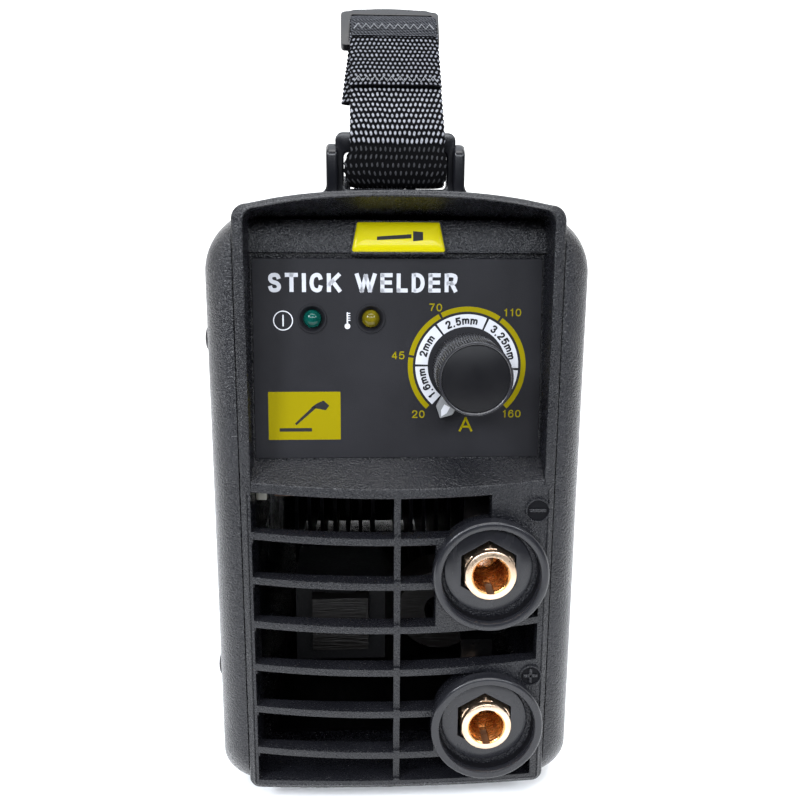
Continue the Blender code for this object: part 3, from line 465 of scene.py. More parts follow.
def webbing(name, ground, fleck, column, row, fill, slant=0.0):
    """Woven webbing: light floats on dark ground. Its UV map holds millimetres across and along."""
    made, tree, shader = material(name, ground, 0.9, Specular_IOR_Level=0.02)
    place = tree.nodes.new("ShaderNodeSeparateXYZ")
    tree.links.new(tree.nodes.new("ShaderNodeTexCoord").outputs["UV"], place.inputs["Vector"])
    across = place.outputs["X"]
    along = place.outputs["Y"]
    wobble = ranged(tree, noise(tree, 260.0, 2.0), 0.3, 0.7, -0.13, 0.13)
    lines = maths(tree, "ADD", maths(tree, "DIVIDE", along, row), wobble)
    number = maths(tree, "FLOOR", lines)
    in_row = maths(tree, "SUBTRACT", maths(tree, "SUBTRACT", lines, number), 0.5)
    stagger = maths(tree, "MULTIPLY", maths(tree, "FLOORED_MODULO", number, 2.0), 0.5)
    columns = maths(tree, "ADD", maths(tree, "DIVIDE", across, column), stagger)
    leaning = maths(tree, "ADD", columns, maths(tree, "MULTIPLY", in_row, slant))
    in_column = maths(tree, "SUBTRACT", maths(tree, "FRACT", leaning), 0.5)
    squares = [
        maths(tree, "POWER", maths(tree, "ABSOLUTE", maths(tree, "DIVIDE", value, reach)), 2.0)
        for value, reach in ((in_column, fill[0]), (in_row, fill[1]))
    ]
    spot = ranged(tree, maths(tree, "ADD", *squares), 0.35, 1.15, 1.0, 0.0, True)
    thread = ranged(tree, noise(tree, 1500.0, 3.0, 0.7), 0.3, 0.7, 0.45, 1.0)
    shade = maths(tree, "MULTIPLY", spot, thread)
    tree.links.new(blended(tree, shade, ground, fleck), shader.inputs["Base Color"])
    wave = maths(tree, "SINE", maths(tree, "MULTIPLY", across, math.tau / column))
    ribs = maths(tree, "MULTIPLY", wave, 0.15)
    raised(tree, shader, maths(tree, "ADD", maths(tree, "MULTIPLY", spot, 0.8), ribs), 0.00045, 0.9)
    return made


# Colour, roughness, grain per metre, bump, drift of the gloss, and shine
GRAINED_PLASTICS = {
    "moulding": ((0.0058, 0.0060, 0.0078), 0.27, 1500.0, 0.00045, 0.05, 0.32),
    "shell": ((0.0062, 0.0064, 0.0084), 0.27, 1300.0, 0.00060, 0.05, 0.34),
    "film": ((0.0095, 0.0095, 0.0115), 0.50, 2600.0, 0.00003, 0.03, 0.16),
    "rubber": ((0.017, 0.017, 0.018), 0.80, 1200.0, 0.00008, 0.02),
}
# Colour, roughness and shine
SMOOTH_PLASTICS = {
    "lug": ((0.0040, 0.0042, 0.0056), 0.22, 0.30),
    "flange": ((0.0095, 0.0097, 0.0120), 0.24, 0.36),
    "knob": ((0.0150, 0.0150, 0.0175), 0.24),
    "knob_cap": ((0.0035, 0.0035, 0.0045), 0.42, 0.15),
    "pointer": ((0.15, 0.155, 0.16), 0.45),
    "buckle": ((0.0050, 0.0052, 0.0062), 0.30, 0.30),
    "gland": ((0.020, 0.020, 0.022), 0.42),
    "switch": ((0.014, 0.014, 0.015), 0.35),
    "rocker": ((0.50, 0.022, 0.014), 0.25),
    # Near black for painted shade: the socket grooves and the hollows of the polarity rings
    "inner_black": ((0.003, 0.003, 0.004), 0.6, 0.08),
    "inner_pale": ((0.42, 0.41, 0.36), 0.5),
    "inner_brown": ((0.10, 0.045, 0.02), 0.45),
    "inner_yellow": ((0.45, 0.33, 0.03), 0.5),
    "thread": ((0.16, 0.165, 0.175), 0.6),
}
INKS = {
    "yellow_ink": (0.185, 0.153, 0.001),
    "grey_ink": (0.42, 0.43, 0.46),
    "white_ink": (0.50, 0.51, 0.54),
    "black_ink": (0.016, 0.016, 0.018),
}
# Colour, roughness, stretch and scale of the tool marks, and bump
METALS = {
    "brass_face": ((0.72, 0.56, 0.42), 0.32, (1.0, 1.0, 1.0), 1600.0),
    "brass_bore": ((0.60, 0.30, 0.11), 0.26, (1.0, 3.0, 1.0), 700.0, 0.00006),
    "zinc_steel": ((0.50, 0.49, 0.52), 0.30),
    "black_steel": ((0.045, 0.045, 0.048), 0.34),
}
# Ground and fleck colours, millimetres to a column and to a row, a fleck's share of them, and slant
WEBBINGS = {
    "webbing": ((0.0018, 0.0018, 0.0022), (0.25, 0.255, 0.28), 1.68, 2.7, (0.32, 0.36)),
    "webbing_fine": ((0.0018, 0.0018, 0.0022), (0.20, 0.205, 0.23), 1.68, 2.2, (0.32, 0.35)),
    # A darker copy of the webbing: painted shade for where it turns under the lug's bar
    "webbing_dark": ((0.003, 0.003, 0.0034), (0.05, 0.051, 0.055), 1.68, 2.7, (0.25, 0.33)),
    "binding": ((0.006, 0.006, 0.007), (0.13, 0.135, 0.15), 1.3, 0.9, (0.40, 0.34), 1.2),
}


def build_materials():
    looks = {
        "badge": badge_material(),
        "green_lamp": lens_material("green_lens", (0.001, 0.030, 0.024)),
        "amber_lamp": lens_material("amber_lens", (0.060, 0.048, 0.002)),
    }
    looks.update({name: print_ink(name, colour) for name, colour in INKS.items()})
    tables = (
        (grained_plastic, GRAINED_PLASTICS),
        (smooth_plastic, SMOOTH_PLASTICS),
        (machined_metal, METALS),
        (webbing, WEBBINGS),
    )
    for make, table in tables:
        looks.update({name: make(name, *row) for name, row in table.items()})
    return looks


def badge_material():
    """Yellow print under a thick clear dome."""
    made, tree, shader = material(
        "badge", (0.42, 0.37, 0.001), 0.45, Coat_Weight=0.14, Coat_Roughness=0.03, Specular_IOR_Level=0.05
    )
    ripple = noise(tree, 220.0, 2.0)
    tree.links.new(ranged(tree, ripple, 0.3, 0.7, 0.30, 0.40), shader.inputs["Roughness"])
    raised(tree, shader, ripple, 0.00003)
    return made


def lens_material(name, colour):
    """Tinted lamp lens, glossy outside and cloudy inside."""
    made, tree, shader = material(
        name, colour, 0.10, Coat_Weight=0.22, Coat_Roughness=0.02, Specular_IOR_Level=0.1
    )
    cloud = noise(tree, 500.0, 2.0)
    tone = blended(tree, ranged(tree, cloud, 0.35, 0.7, 0.0, 1.0), colour, [c * 1.8 for c in colour])
    tree.links.new(tone, shader.inputs["Base Color"])
    return made


# ---------------------------------------------------------------- camera and light


def build_camera():
    """A full-frame camera at the photograph's viewing angle."""
    level, drop = cos_sin(CAMERA_PITCH)
    ahead_share, right_share = cos_sin(CAMERA_TURN)
    ahead = Vector((right_share * level, ahead_share * level, -drop))
    level_right = ahead.cross(Vector((0, 0, 1))).normalized()
    level_up = level_right.cross(ahead)
    kept, tipped = cos_sin(CAMERA_ROLL)
    right = level_right * kept + level_up * tipped
    up = level_up * kept - level_right * tipped
    camera = bpy.data.cameras.new("camera")
    camera.sensor_width = 36.0
    camera.lens = CAMERA_LENS
    camera.clip_start = 0.01
    made = bpy.data.objects.new("camera", camera)
    bpy.context.scene.collection.objects.link(made)
    basis = Matrix((right, up, -ahead)).transposed().to_4x4()
    made.matrix_world = Matrix.Translation(FRONT_SPACE @ (Vector(CAMERA_PLACE) * MM)) @ basis
    bpy.context.scene.camera = made


def area_light(name, place, target, size, power, colour):
    light = bpy.data.lights.new(name, "AREA")
    light.shape = "RECTANGLE"
    light.size, light.size_y = size
    light.energy = power
    light.color = colour
    made = bpy.data.objects.new(name, light)
    bpy.context.scene.collection.objects.link(made)
    made.location = place
    aim = Vector(target) - Vector(place)
    made.rotation_euler = aim.to_track_quat("-Z", "Y").to_euler()


def build_studio():
    """A white sweep under a soft box, a key at each side and overhead light, in dark surroundings."""
    bpy.context.scene.view_settings.view_transform = "Standard"
    world = bpy.data.worlds.new("surround")
    world.use_nodes = True
    background = world.node_tree.nodes["Background"]
    background.inputs["Color"].default_value = (0.92, 0.95, 1.0, 1.0)
    background.inputs["Strength"].default_value = 0.08
    bpy.context.scene.world = world

    paper, tree, shader = material("paper", (0.95, 0.95, 0.95), 0.9)
    tree.links.new(ranged(tree, noise(tree, 40.0), 0.3, 0.7, 0.85, 0.95), shader.inputs["Roughness"])
    line = [(-420.0, 0.0), (1000.0, 0.0)] + arc((1000.0, 800.0), 800.0, -90, 0, 12) + [(1800.0, 2200.0)]
    points = [(x, y, z) for x in (-2500.0, 2500.0) for y, z in line]
    count = len(line)
    faces = [(i, i + 1, count + i + 1, count + i) for i in range(count - 1)]
    new_object("paper_sweep", points, faces, paper, Matrix.Identity(4))

    middle = (0.0, -0.10, 0.13)
    cool = (0.90, 0.94, 1.0)
    white = (1.0, 1.0, 1.0)
    lights = (
        ("front_box", (0.0, -1.25, 0.70), middle, (1.3, 0.20), 15.0, cool),
        ("key_left", (-0.80, -0.90, 0.86), middle, (0.26, 0.40), 17.0, cool),
        ("key_right", (0.84, -0.90, 0.86), middle, (0.26, 0.40), 7.0, cool),
        ("overhead", (0.0, 0.05, 1.15), (0.0, 0.0, 0.1), (1.0, 0.8), 11.0, cool),
        ("strip_left", (-1.05, 0.10, 0.40), middle, (0.25, 0.9), 3.0, white),
        ("strip_right", (1.05, 0.10, 0.40), middle, (0.25, 0.9), 2.4, white),
        ("floor_light", (0.0, -0.75, 1.5), (0.0, -0.25, 0.0), (1.4, 0.6), 22.0, white),
        ("wall_left", (-1.2, 0.7, 1.6), (-0.4, 1.7, 0.4), (0.8, 0.8), 24.0, white),
        ("wall_right", (1.2, 0.7, 1.6), (0.4, 1.7, 0.4), (0.8, 0.8), 24.0, white),
    )
    for light in lights:
        area_light(*light)


# ---------------------------------------------------------------- casing


def arch(x):
    """Height of a rim's arched top edge."""
    return ARCH_TOP - ARCH_DROP * (abs(x) / 52) ** 2.5


def bulge(x):
    """How far the front stands forward of its side edges."""
    return -BULGE * (1 - (x / RIM_HALF) ** 2)


def slat_rise(height, x):
    """How much a slat at a height arches up from the middle to x. The grille's foot stays straight."""
    return 2.7 * min(1, (height - RIM_FLOOR) / 10) * (x / GRILLE_HALF) ** 2


def rim_outline(half_low, half_top, low, top_drop, low_radius, top_radius, flat_top=None):
    """A rim's edge from the bottom centre round by the right side, as (x, z) pairs."""
    right = [(half_low * t, low) for t in (0, 0.15, 0.30, 0.45, 0.60, 0.75)]
    right += arc((half_low - low_radius, low + low_radius), low_radius, -90, 0, 8)
    right += [(half_low, RIM_STEP - 0.4), (half_top, RIM_STEP + 0.4)]
    shoulder = (flat_top or arch(half_top - top_radius) - top_drop) - top_radius
    right += arc((half_top - top_radius, shoulder), top_radius, 0, 90, 10)
    for t in (0.82, 0.74, 0.66, 0.56, 0.46, 0.36, 0.26, 0.16, 0.08, 0):
        x = (half_top - top_radius) * t
        right.append((x, flat_top or arch(x) - top_drop))
    return right + [(-x, z) for x, z in right[-2:0:-1]]


def moved_in(outer, inner, distance):
    """Points of the outer outline moved towards the inner one by a distance."""
    moved = []
    for (a, b), (c, d) in zip(outer, inner):
        span = math.hypot(c - a, d - b)
        moved.append((a + (c - a) * distance / span, b + (d - b) * distance / span))
    return moved


def build_rim(name, look, space, low_half):
    """The rim with rounded front edges, its ceiling sloping down behind the arched lip."""
    outer = rim_outline(RIM_HALF, RIM_HALF, RIM_BOTTOM, 0, 4, RIM_CORNER)
    inner_half = RIM_HALF - RIM_WALL
    inner = rim_outline(low_half, inner_half, RIM_FLOOR, ARCH_LIP, 0.6, 4.5)
    back = rim_outline(low_half, inner_half, RIM_FLOOR, 0, 0.6, 1, HOOD_BACK)
    outer_round = 1.1
    slope = 0.9
    inner_round = 0.7
    rings = [[(x, RIM_DEPTH, z) for x, z in outer]]
    for turn in (0, 22.5, 45, 67.5, 90):
        into, down = (outer_round * (1 - share) for share in cos_sin(turn))
        rings.append([(x, bulge(x) + slope + down, z) for x, z in moved_in(outer, inner, into)])
    for turn in (90, 60, 30, 0):
        into, down = (inner_round * (1 - share) for share in cos_sin(turn))
        rings.append([(x, bulge(x) + down, z) for x, z in moved_in(inner, outer, into)])
    rings.append([(x, RIM_DEPTH, z) for x, z in back])
    return lofted(name, rings, look, space, closed=True)


def build_lug(name, look, space):
    """The strap lug: a slotted plate between two upright webs."""
    low = ARCH_TOP - 4
    outline = [(-LUG_HALF, low), (LUG_HALF, low)]
    outline += arc((LUG_HALF - 2.8, LUG_TOP - 2.8), 2.8, 0, 90, 6)
    outline += arc((-LUG_HALF + 2.8, LUG_TOP - 2.8), 2.8, 90, 180, 6)
    plate = prism(f"{name}_plate", outline, "Y", LUG_FRONT, LUG_FRONT + LUG_THICK, look, space)
    slot = rounded_rectangle(-SLOT_HALF, SLOT_HALF, SLOT_LOW, SLOT_TOP, 1.6)
    cut(plate, prism("slot", slot, "Y", LUG_FRONT - 10, LUG_FRONT + 20, look, space))
    ease(plate, 0.6, 3)
    keep(plate)
    for side, sign in SIDES:
        web = [(11.2, low), (24.5, low), (24.5, 251), (21.5, 254), (14, 254), (11.2, 251)]
        near = sign * (LUG_HALF - 1)
        far = sign * (LUG_HALF + 3.2)
        keep(ease(prism(f"{name}_web_{side}", web, "X", near, far, look, space), 1.3, 4))
        keep(build_web_foot(f"{name}_{side}_foot", far, sign, look, space))


def build_web_foot(name, edge, sign, look, space):
    """A hollow-curved fillet from the rim's top up the outside of a lug's web."""
    base = arch(edge) - 0.6
    curve = [(edge - sign, base)]
    curve += [(edge + sign * (2.6 - x), base + 0.4 + z) for x, z in arc((0, 2.6), 2.6, -90, 0, 6)]
    curve += [(edge - sign, base + 3)]
    made = prism(name, curve, "Y", 11.8, 24, look, space)
    return ease(made, 0.4, 2, 50)


def shell_ring(depth, sign):
    """The C-shaped section of one half shell at a depth, drawn in at the nose and at the tail."""
    from_end = min(depth, BODY_LENGTH - depth) - SHELL_START
    near = max(0, 1 - from_end / SHELL_NOSE)
    drawn_in = 1 - math.sqrt(1 - near**2)
    half = SHELL_HALF - 10.5 * drawn_in
    low = SHELL_BOTTOM + 6 * near
    high = SHELL_TOP - 2 * drawn_in
    low_radius = SHELL_LOW_RADIUS + 6 * near
    top_radius = SHELL_TOP_RADIUS - 4 * drawn_in
    outline = []
    for wall, order in ((0, 1), (SHELL_WALL, -1)):
        line = [(SEAM / 2, low + wall), (half * 0.5, low + wall)]
        corner = low_radius - wall
        line += arc((half - low_radius, low + low_radius), corner, -90, 0, 12)
        corner = top_radius - wall
        line += arc((half - top_radius, high - top_radius), corner, 0, 90, 20)
        line.append((SEAM / 2, high - wall))
        outline += line[::order]
    return [(sign * x, depth, z) for x, z in outline]


def build_shells(look):
    """Two half shells, notched for the rims, with vent slots near the rear."""
    depths = [SHELL_START + SHELL_NOSE * (1 - cos_sin(6 * i)[0]) for i in range(16)]
    depths += [BODY_LENGTH - depth for depth in depths[::-1]]
    for side, sign in SIDES:
        shell = lofted(f"{side}_casing", [shell_ring(depth, sign) for depth in depths], look)
        notches = []
        for near, far in ((-20, RIM_DEPTH + 0.3), (BODY_LENGTH - RIM_DEPTH - 0.3, BODY_LENGTH + 20)):
            low = (-RIM_HALF - 0.3, near, RIM_BOTTOM - 0.3)
            high = (RIM_HALF + 0.3, far, ARCH_TOP + 20)
            notches.append(block("notch", low, high, look))
        for i in range(7):
            near = 190 + 8.5 * i
            slot = rounded_rectangle(near, near + 3.4, 52, 104, 1.6, 4)
            notches.append(prism("vent", slot, "X", sign * 60, sign * 78, look))
        cut(shell, *notches)
        keep(shell, nodes=[f"{side}_shell"])


def build_side_screws(look):
    """Pan heads with a cross recess."""
    profile = [(0, -2), (4, -2), (4.8, 0), (4.9, 0.6), (4.6, 1.3)]
    profile += [(3.8, 1.8), (2.6, 2.1), (1.2, 2.2), (0, 2.2)]
    for side, sign in SIDES:
        for end, depth in (("front", SCREW_DEPTH), ("rear", BODY_LENGTH - SCREW_DEPTH)):
            for level, height in SCREW_HEIGHTS.items():
                name = f"screw_{side}_{end}_{level}"
                space = placed(sign * SHELL_HALF, depth, height, sign * 90, "Y")
                head = turned(f"{name}_head", profile, look, space, 40)
                arms = ((2.6, 0.5), (0.5, 2.6))
                cut(head, *[block("arm", (-a, -b, 0.6), (a, b, 4), look, space) for a, b in arms])
                keep(head, nodes=[name])


def build_feet(look):
    """Round pads with a hollow in the middle."""
    for end in ("front", "rear"):
        for side in ("left", "right"):
            name = f"foot_{end}_{side}"
            low, high = (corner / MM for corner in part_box(name))
            radius = (high.x - low.x) / 2
            profile = [(0, 0), (radius * 0.45, 0), (radius * 0.5, 0.6), (radius * 0.62, 0.6)]
            profile += [(radius * 0.68, 0), (radius - 0.8, 0), (radius - 0.2, 0.3), (radius, 0.9)]
            profile += [(radius * 0.97, high.z), (0, high.z)]
            space = Matrix.Translation(((low.x + high.x) / 2 * MM, (low.y + high.y) / 2 * MM, 0))
            keep(turned(f"{name}_pad", profile, look, space, 48), nodes=[name])


# ---------------------------------------------------------------- control panel


def brow_depth(height):
    """How deep the brow's face lies at a height."""
    return BROW_FOOT[0] + BROW_RADIUS - math.sqrt(BROW_RADIUS**2 - (height - BROW_FOOT[1]) ** 2)


def build_fascia(look):
    """Lip, sloped shelf, leaning panel and rounded brow, one section carried across."""
    brow = [BROW_FOOT[1] + (BROW_TOP - BROW_FOOT[1]) * i / 14 for i in range(15)]
    rings = []
    steps = 36
    for i in range(steps + 1):
        x = PANEL_HALF * (2 * i / steps - 1)
        lip = bulge(x)
        lip_top = LIP_TOP + slat_rise(LIP_TOP, x)
        lip_bottom = LIP_BOTTOM + slat_rise(LIP_TOP, x)
        corners = [(lip, lip_bottom), (lip, lip_top), PANEL_FOOT, (16.05, 215.2), (15.85, 215.7)]
        radii = [0, 0.7, 0.4, 0, 0]
        for z in brow:
            corners.append((brow_depth(z), z))
            radii.append(0)
        corners += [(brow_depth(BROW_TOP) + 0.6, BROW_TOP + 0.2), (26.2, BROW_TOP + 0.2)]
        corners += [(26.2, 220), (19, 214.5), (13.5, 138.4), (lip + 2.5, lip_bottom)]
        radii += [0] * 6
        rings.append([(x, y, z) for y, z in softened(corners, radii, 6)])
    fascia = lofted("front_housing", rings, look, smooth=28)
    cut(fascia, *panel_holes(3.6, 5, look, 32))
    keep(fascia, nodes=["control_fascia"])


def panel_holes(shaft_radius, lamp_radius, look, sides):
    """Tools for the knob shaft's hole and the two lamps' holes."""
    holes = [(shaft_radius, DIAL_SPACE)]
    holes += [(lamp_radius, placed(*spot, 0, space=PANEL_SPACE)) for spot in LAMPS.values()]
    return [turned("hole", rod(radius, -20, 20), look, space, sides) for radius, space in holes]


def build_overlay(looks):
    """The printed film, its edges a hair above the panel."""
    outline = rounded_rectangle(-53.1, 53.1, 0.5, PANEL_HEIGHT - 0.5, 0.8, 4)
    film = prism("panel_film", outline, "Z", 0.1, FILM, looks["film"], PANEL_SPACE)
    cut(film, *panel_holes(5, 4.9, looks["film"], 48))
    ease(film, 0.15, 1)
    keep(film, nodes=["control_overlay"])


def build_lamps(looks):
    """A domed lens in a shallow embossed ring."""
    r = LAMP_RADIUS
    for name, spot in LAMPS.items():
        space = placed(*spot, 0, space=PANEL_SPACE)
        profile = [(0, -4), (r, -4), (r, 0.2)]
        profile += [(r * x, 0.2 + r * 0.92 * y) for x, y in (cos_sin(turn) for turn in range(10, 90, 10))]
        profile.append((0, 0.2 + r * 0.92))
        lens = turned(f"{name}_lens", profile, looks[name], space, 40)
        keep(lens, nodes=[name])
        ring = [(3.5, -1.2), (5, -1.2), (5.2, 0.4), (5.3, 0.9), (5.1, 1.3)]
        ring += [(4.7, 1.3), (4.4, 0.8), (4, 0.1), (3.5, -0.2)]
        keep(turned(f"{name}_bezel", ring, looks["film"], space, 48))


def flat_shape(name, outline, look, lift=0.03, space=PANEL_SPACE):
    """A printed shape lying on the film."""
    made = prism(name, outline, "Z", FILM, FILM + lift, look, space)
    return keep(made)


def ring_section(centre, inner, outer, start, stop):
    steps = max(3, int(abs(stop - start) / 3))
    return arc(centre, outer, start, stop, steps) + arc(centre, inner, stop, start, steps)


# Letter strokes on a grid of 100, "c" for a smooth curve and "l" for straight runs.
STROKES = {
    "0": ["c 50,100 12,85 0,50 12,15 50,0 88,15 100,50 88,85 50,100"],
    "1": ["l 70,0 70,100", "c 70,97 52,84 12,78"],
    "2": ["c 2,68 14,93 50,100 88,92 95,70 74,45 30,22 5,0", "l 0,0 100,0"],
    "3": ["c 3,74 16,95 50,100 84,94 90,72 74,57 40,54", "c 40,54 80,50 100,28 84,6 50,0 14,6 0,27"],
    "4": ["l 76,0 76,100", "l 74,98 2,30", "l 0,26 100,26"],
    "5": ["l 92,100 17,100 6,47", "c 6,47 26,61 50,64 88,55 100,32 88,8 50,0 14,5 0,23"],
    "6": ["c 93,78 80,95 52,100 16,85 2,50 3,28 18,5 50,0 86,7 100,32 86,57 50,63 18,55 4,36"],
    "7": ["l 0,100 100,100", "c 100,100 62,58 42,25 36,0"],
    ",": ["c 50,7 46,-8 22,-22"],
    "m": [
        "l 0,0 0,72",
        "c 0,50 10,66 28,72 45,66 50,50 50,30 50,0",
        "c 50,50 60,66 78,72 95,66 100,50 100,30 100,0",
    ],
    "A": ["l 0,0 50,100 100,0", "l 19,32 81,32"],
    "S": ["c 95,74 80,95 48,100 14,93 6,74 24,57 76,45 96,26 84,6 50,0 16,5 2,28"],
    "T": ["l 0,100 100,100", "l 50,0 50,100"],
    "I": ["l 50,0 50,100"],
    "C": ["c 97,70 82,94 50,100 14,86 0,50 14,14 50,0 82,6 97,32"],
    "K": ["l 4,0 4,100", "l 94,100 10,40", "l 38,60 100,0"],
    "W": ["l 0,100 27,0 50,94 73,0 100,100"],
    "E": ["l 100,100 6,100 6,0 100,0", "l 6,52 92,52"],
    "L": ["l 6,100 6,0 100,0"],
    "D": ["l 5,0 5,100", "c 5,100 50,100 86,84 100,50 86,16 50,0 5,0"],
    "R": ["l 5,0 5,100", "c 5,100 60,100 94,92 98,74 88,54 60,47 5,47", "l 55,47 96,0"],
}
USUAL_WIDTH = 0.64
WIDTHS = {
    "1": 0.52, ",": 0.30, " ": 0.34, "m": 0.86, "A": 0.74,
    "I": 0.22, "W": 1.02, "K": 0.70, "L": 0.56, "E": 0.62,
}


def stroke_lines(text):
    """The middle lines of one stroke: a smooth curve, or straight runs that overlap at the corners."""
    kind, *pairs = text.split()
    points = [Vector([int(n) / 100 for n in pair.split(",")]) for pair in pairs]
    if kind == "l":
        return [[a, b] for a, b in zip(points, points[1:])]
    line = [curve_point(points, i, step / 5) for i in range(len(points) - 1) for step in range(5)]
    return [line + [points[-1]]]


def lettering(text, height, weight, stretch, gap):
    """Points and faces of a line of text, centred on its foot. weight is a stroke's share of height."""
    points = []
    faces = []
    cursor = 0
    for letter in text:
        width = WIDTHS.get(letter, USUAL_WIDTH) * stretch
        inner = max(width - weight, 0)
        for unit_line in [line for stroke in STROKES.get(letter, []) for line in stroke_lines(stroke)]:
            foot = Vector((cursor + weight / 2, weight / 2))
            line = [foot + Vector((p.x * inner, p.y * (1 - weight))) for p in unit_line]
            if len(line) == 2:
                reach = (line[1] - line[0]).normalized() * weight * 0.42
                line = [line[0] - reach, line[1] + reach]
            first = len(points)
            for i, point in enumerate(line):
                back = (point - line[i - 1]).normalized() if i else (line[1] - line[0]).normalized()
                ahead = (line[i + 1] - point).normalized() if i < len(line) - 1 else back
                along = (back + ahead).normalized()
                side = Vector((-along.y, along.x)) * weight / 2
                points += [point + side, point - side]
            for i in range(len(line) - 1):
                k = first + 2 * i
                faces.append((k + 1, k + 3, k + 2, k))
        cursor += width + gap
    middle = (cursor - gap) / 2
    return [((p.x - middle) * height, p.y * height) for p in points], faces


def printed(name, text, place, height, look, weight=0.15, stretch=1, gap=0.17):
    """Text centred on a place, its foot line at the place's height."""
    points, faces = lettering(text, height, weight, stretch, gap)
    lifted = [(place[0] + x, place[1] + y, FILM + 0.06) for x, y in points]
    made = new_object(name, lifted, faces, look, PANEL_SPACE, printed_flat=True)
    return keep(made)


def printed_round(name, text, radius, middle, height, look, weight=0.2, stretch=1, gap=0.12):
    """Text along the dial's ring, read clockwise, centred on an angle in degrees."""
    points, faces = lettering(text, height, weight, stretch, gap)
    bent = []
    for x, y in points:
        turn = math.radians(middle) - x / (radius + height / 2)
        reach = radius + y
        bent.append((DIAL[0] + reach * math.cos(turn), DIAL[1] + reach * math.sin(turn), FILM + 0.09))
    made = new_object(name, bent, faces, look, PANEL_SPACE, printed_flat=True)
    return keep(made)


def build_prints(looks):
    """The dial's amps and electrode sizes, the signs and the title."""
    yellow = looks["yellow_ink"]
    grey = looks["grey_ink"]
    for i, (start, stop) in enumerate(((226.5, 171.2), (168.8, 119.2), (116.8, 56.2), (53.8, -46.5))):
        flat_shape(f"scale_arc_{i + 1}", ring_section(DIAL, 20.15, 22, start, stop), yellow)
    bands = ((228, 180.4), (177.8, 128.9), (126.2, 67.8), (65.1, -2.3), (-4.9, -48))
    for i, (start, stop) in enumerate(bands):
        flat_shape(f"rod_band_{i + 1}", ring_section(DIAL, 14.6, 19.2, start, stop), grey)
    rods = {"1,6mm": 203, "2mm": 153.5, "2,5mm": 97.5, "3,25mm": 33, "4mm": -26}
    for text, middle in rods.items():
        label = f"rod_{text.replace(',', '_')}"
        printed_round(label, text, 15.35, middle, 3, looks["black_ink"], 0.22, 1.06, 0.13)
    numbers = (("20", 7.6, 15.5), ("45", 0, 37.5), ("70", 13.8, 55.1), ("110", 42.2, 53.3))
    for text, x, y in numbers + (("160", 42.6, 15.5),):
        printed(f"amps_{text}", text, (x, y), 2.9, yellow, 0.15, 1.12, 0.2)
    printed("amps_unit", "A", (25.4, 10.2), 5.5, yellow, 0.14, 1.25)
    build_symbols(looks["white_ink"])
    build_yellow_panel(looks)
    printed("machine_kind", "STICK WELDER", (-12.8, 62), 7, looks["grey_ink"], 0.21, 1.10, 0.17)


def build_yellow_panel(looks):
    """A plain yellow field with an electrode sign: a held rod over a work line."""
    flat_shape("yellow_panel", rounded_rectangle(-48, -21.35, 7.5, 25.5, 0.2, 2), looks["yellow_ink"])
    black = looks["black_ink"]
    holder = [(-30, 21.2), (-27.6, 22.2), (-25.5, 20.3), (-26.8, 18.6), (-32.2, 19.6)]
    flat_shape("electrode_holder", holder, black, 0.06)
    electrode = [(-31.2, 20.3), (-30.3, 19.5), (-37.7, 13), (-38.3, 13.6)]
    flat_shape("electrode_rod", electrode, black, 0.06)
    flat_shape("electrode_work", rounded_rectangle(-44, -32, 10.6, 11.9, 0.2, 2), black, 0.06)


def build_symbols(white):
    """The on symbol and the thermometer, plain line signs."""
    for side, start in (("left", 90), ("right", -90)):
        flat_shape(f"on_ring_{side}", ring_section((-42.05, 51.75), 3.25, 3.62, start, start + 180), white)
    flat_shape("on_bar", rounded_rectangle(-42.3, -41.8, 49.6, 53.9, 0.2, 2), white)
    flat_shape("heat_bulb", arc((-18.6, 49.7), 1.05, 0, 330, 11), white)
    flat_shape("heat_stem", rounded_rectangle(-18.85, -18.35, 50, 54.8, 0.2, 2), white)
    for i in range(4):
        low = 51.7 + 0.85 * i
        flat_shape(f"heat_mark_{i + 1}", rounded_rectangle(-18.35, -17.5, low, low + 0.3, 0.1, 1), white)


def build_knob(looks):
    """Fluted grip with a rimmed cap and a pointer at its foot."""
    top = KNOB_GAP + KNOB_LENGTH
    flutes = 84

    def fluted(radius, height, turn):
        if radius < KNOB_RADIUS - 0.4 or height > top - 2.2:
            return radius
        return radius - 0.6 * (0.5 - 0.5 * math.cos(turn * flutes)) ** 0.7

    r = KNOB_RADIUS
    profile = [(3.4, KNOB_GAP), (r - 0.6, KNOB_GAP), (r, KNOB_GAP + 0.5), (r, top - 2.4)]
    profile += [(r - 0.5, top - 2.1), (r - 0.5, top - 1.6), (r - 0.15, top - 1.2)]
    profile += [(r - 0.15, top - 0.5), (r - 0.3, top - 0.1), (r - 0.6, top), (r - 1, top - 0.1)]
    profile += [(r - 1.3, top - 0.7), (3.4, top - 0.9)]
    grip = turned("knob_grip", profile, looks["knob"], DIAL_SPACE, flutes * 6, fluted, 50)
    keep(grip, "knob", ["amperage_knob"])
    cap = r - 1.35
    profile = [(0, top - 1), (cap, top - 1), (cap, top - 0.5), (cap - 0.3, top - 0.3)]
    profile.append((0, top - 0.25))
    keep(turned("knob_lid", profile, looks["knob_cap"], DIAL_SPACE, 96), "knob", ["knob_cap"])

    space = placed(0, 0, 0, POINTER_REST, "Z", DIAL_SPACE)
    outline = [(r - 0.4, -3.4), (18.2, -3.4), (21.4, 0), (18.2, 3.4), (r - 0.4, 3.4)]
    tab = prism("knob_tab", outline, "Z", KNOB_GAP, KNOB_GAP + 2.2, looks["pointer"], space)
    keep(ease(tab, 0.3, 2), "knob", ["knob_pointer"])
    mark = [(16, -1.2), (18.5, -1.2), (20.6, 0), (18.5, 1.2), (16, 1.2)]
    made = prism("knob_tab_mark", mark, "Z", KNOB_GAP + 2.1, KNOB_GAP + 2.26, looks["white_ink"], space)
    keep(made, "knob")


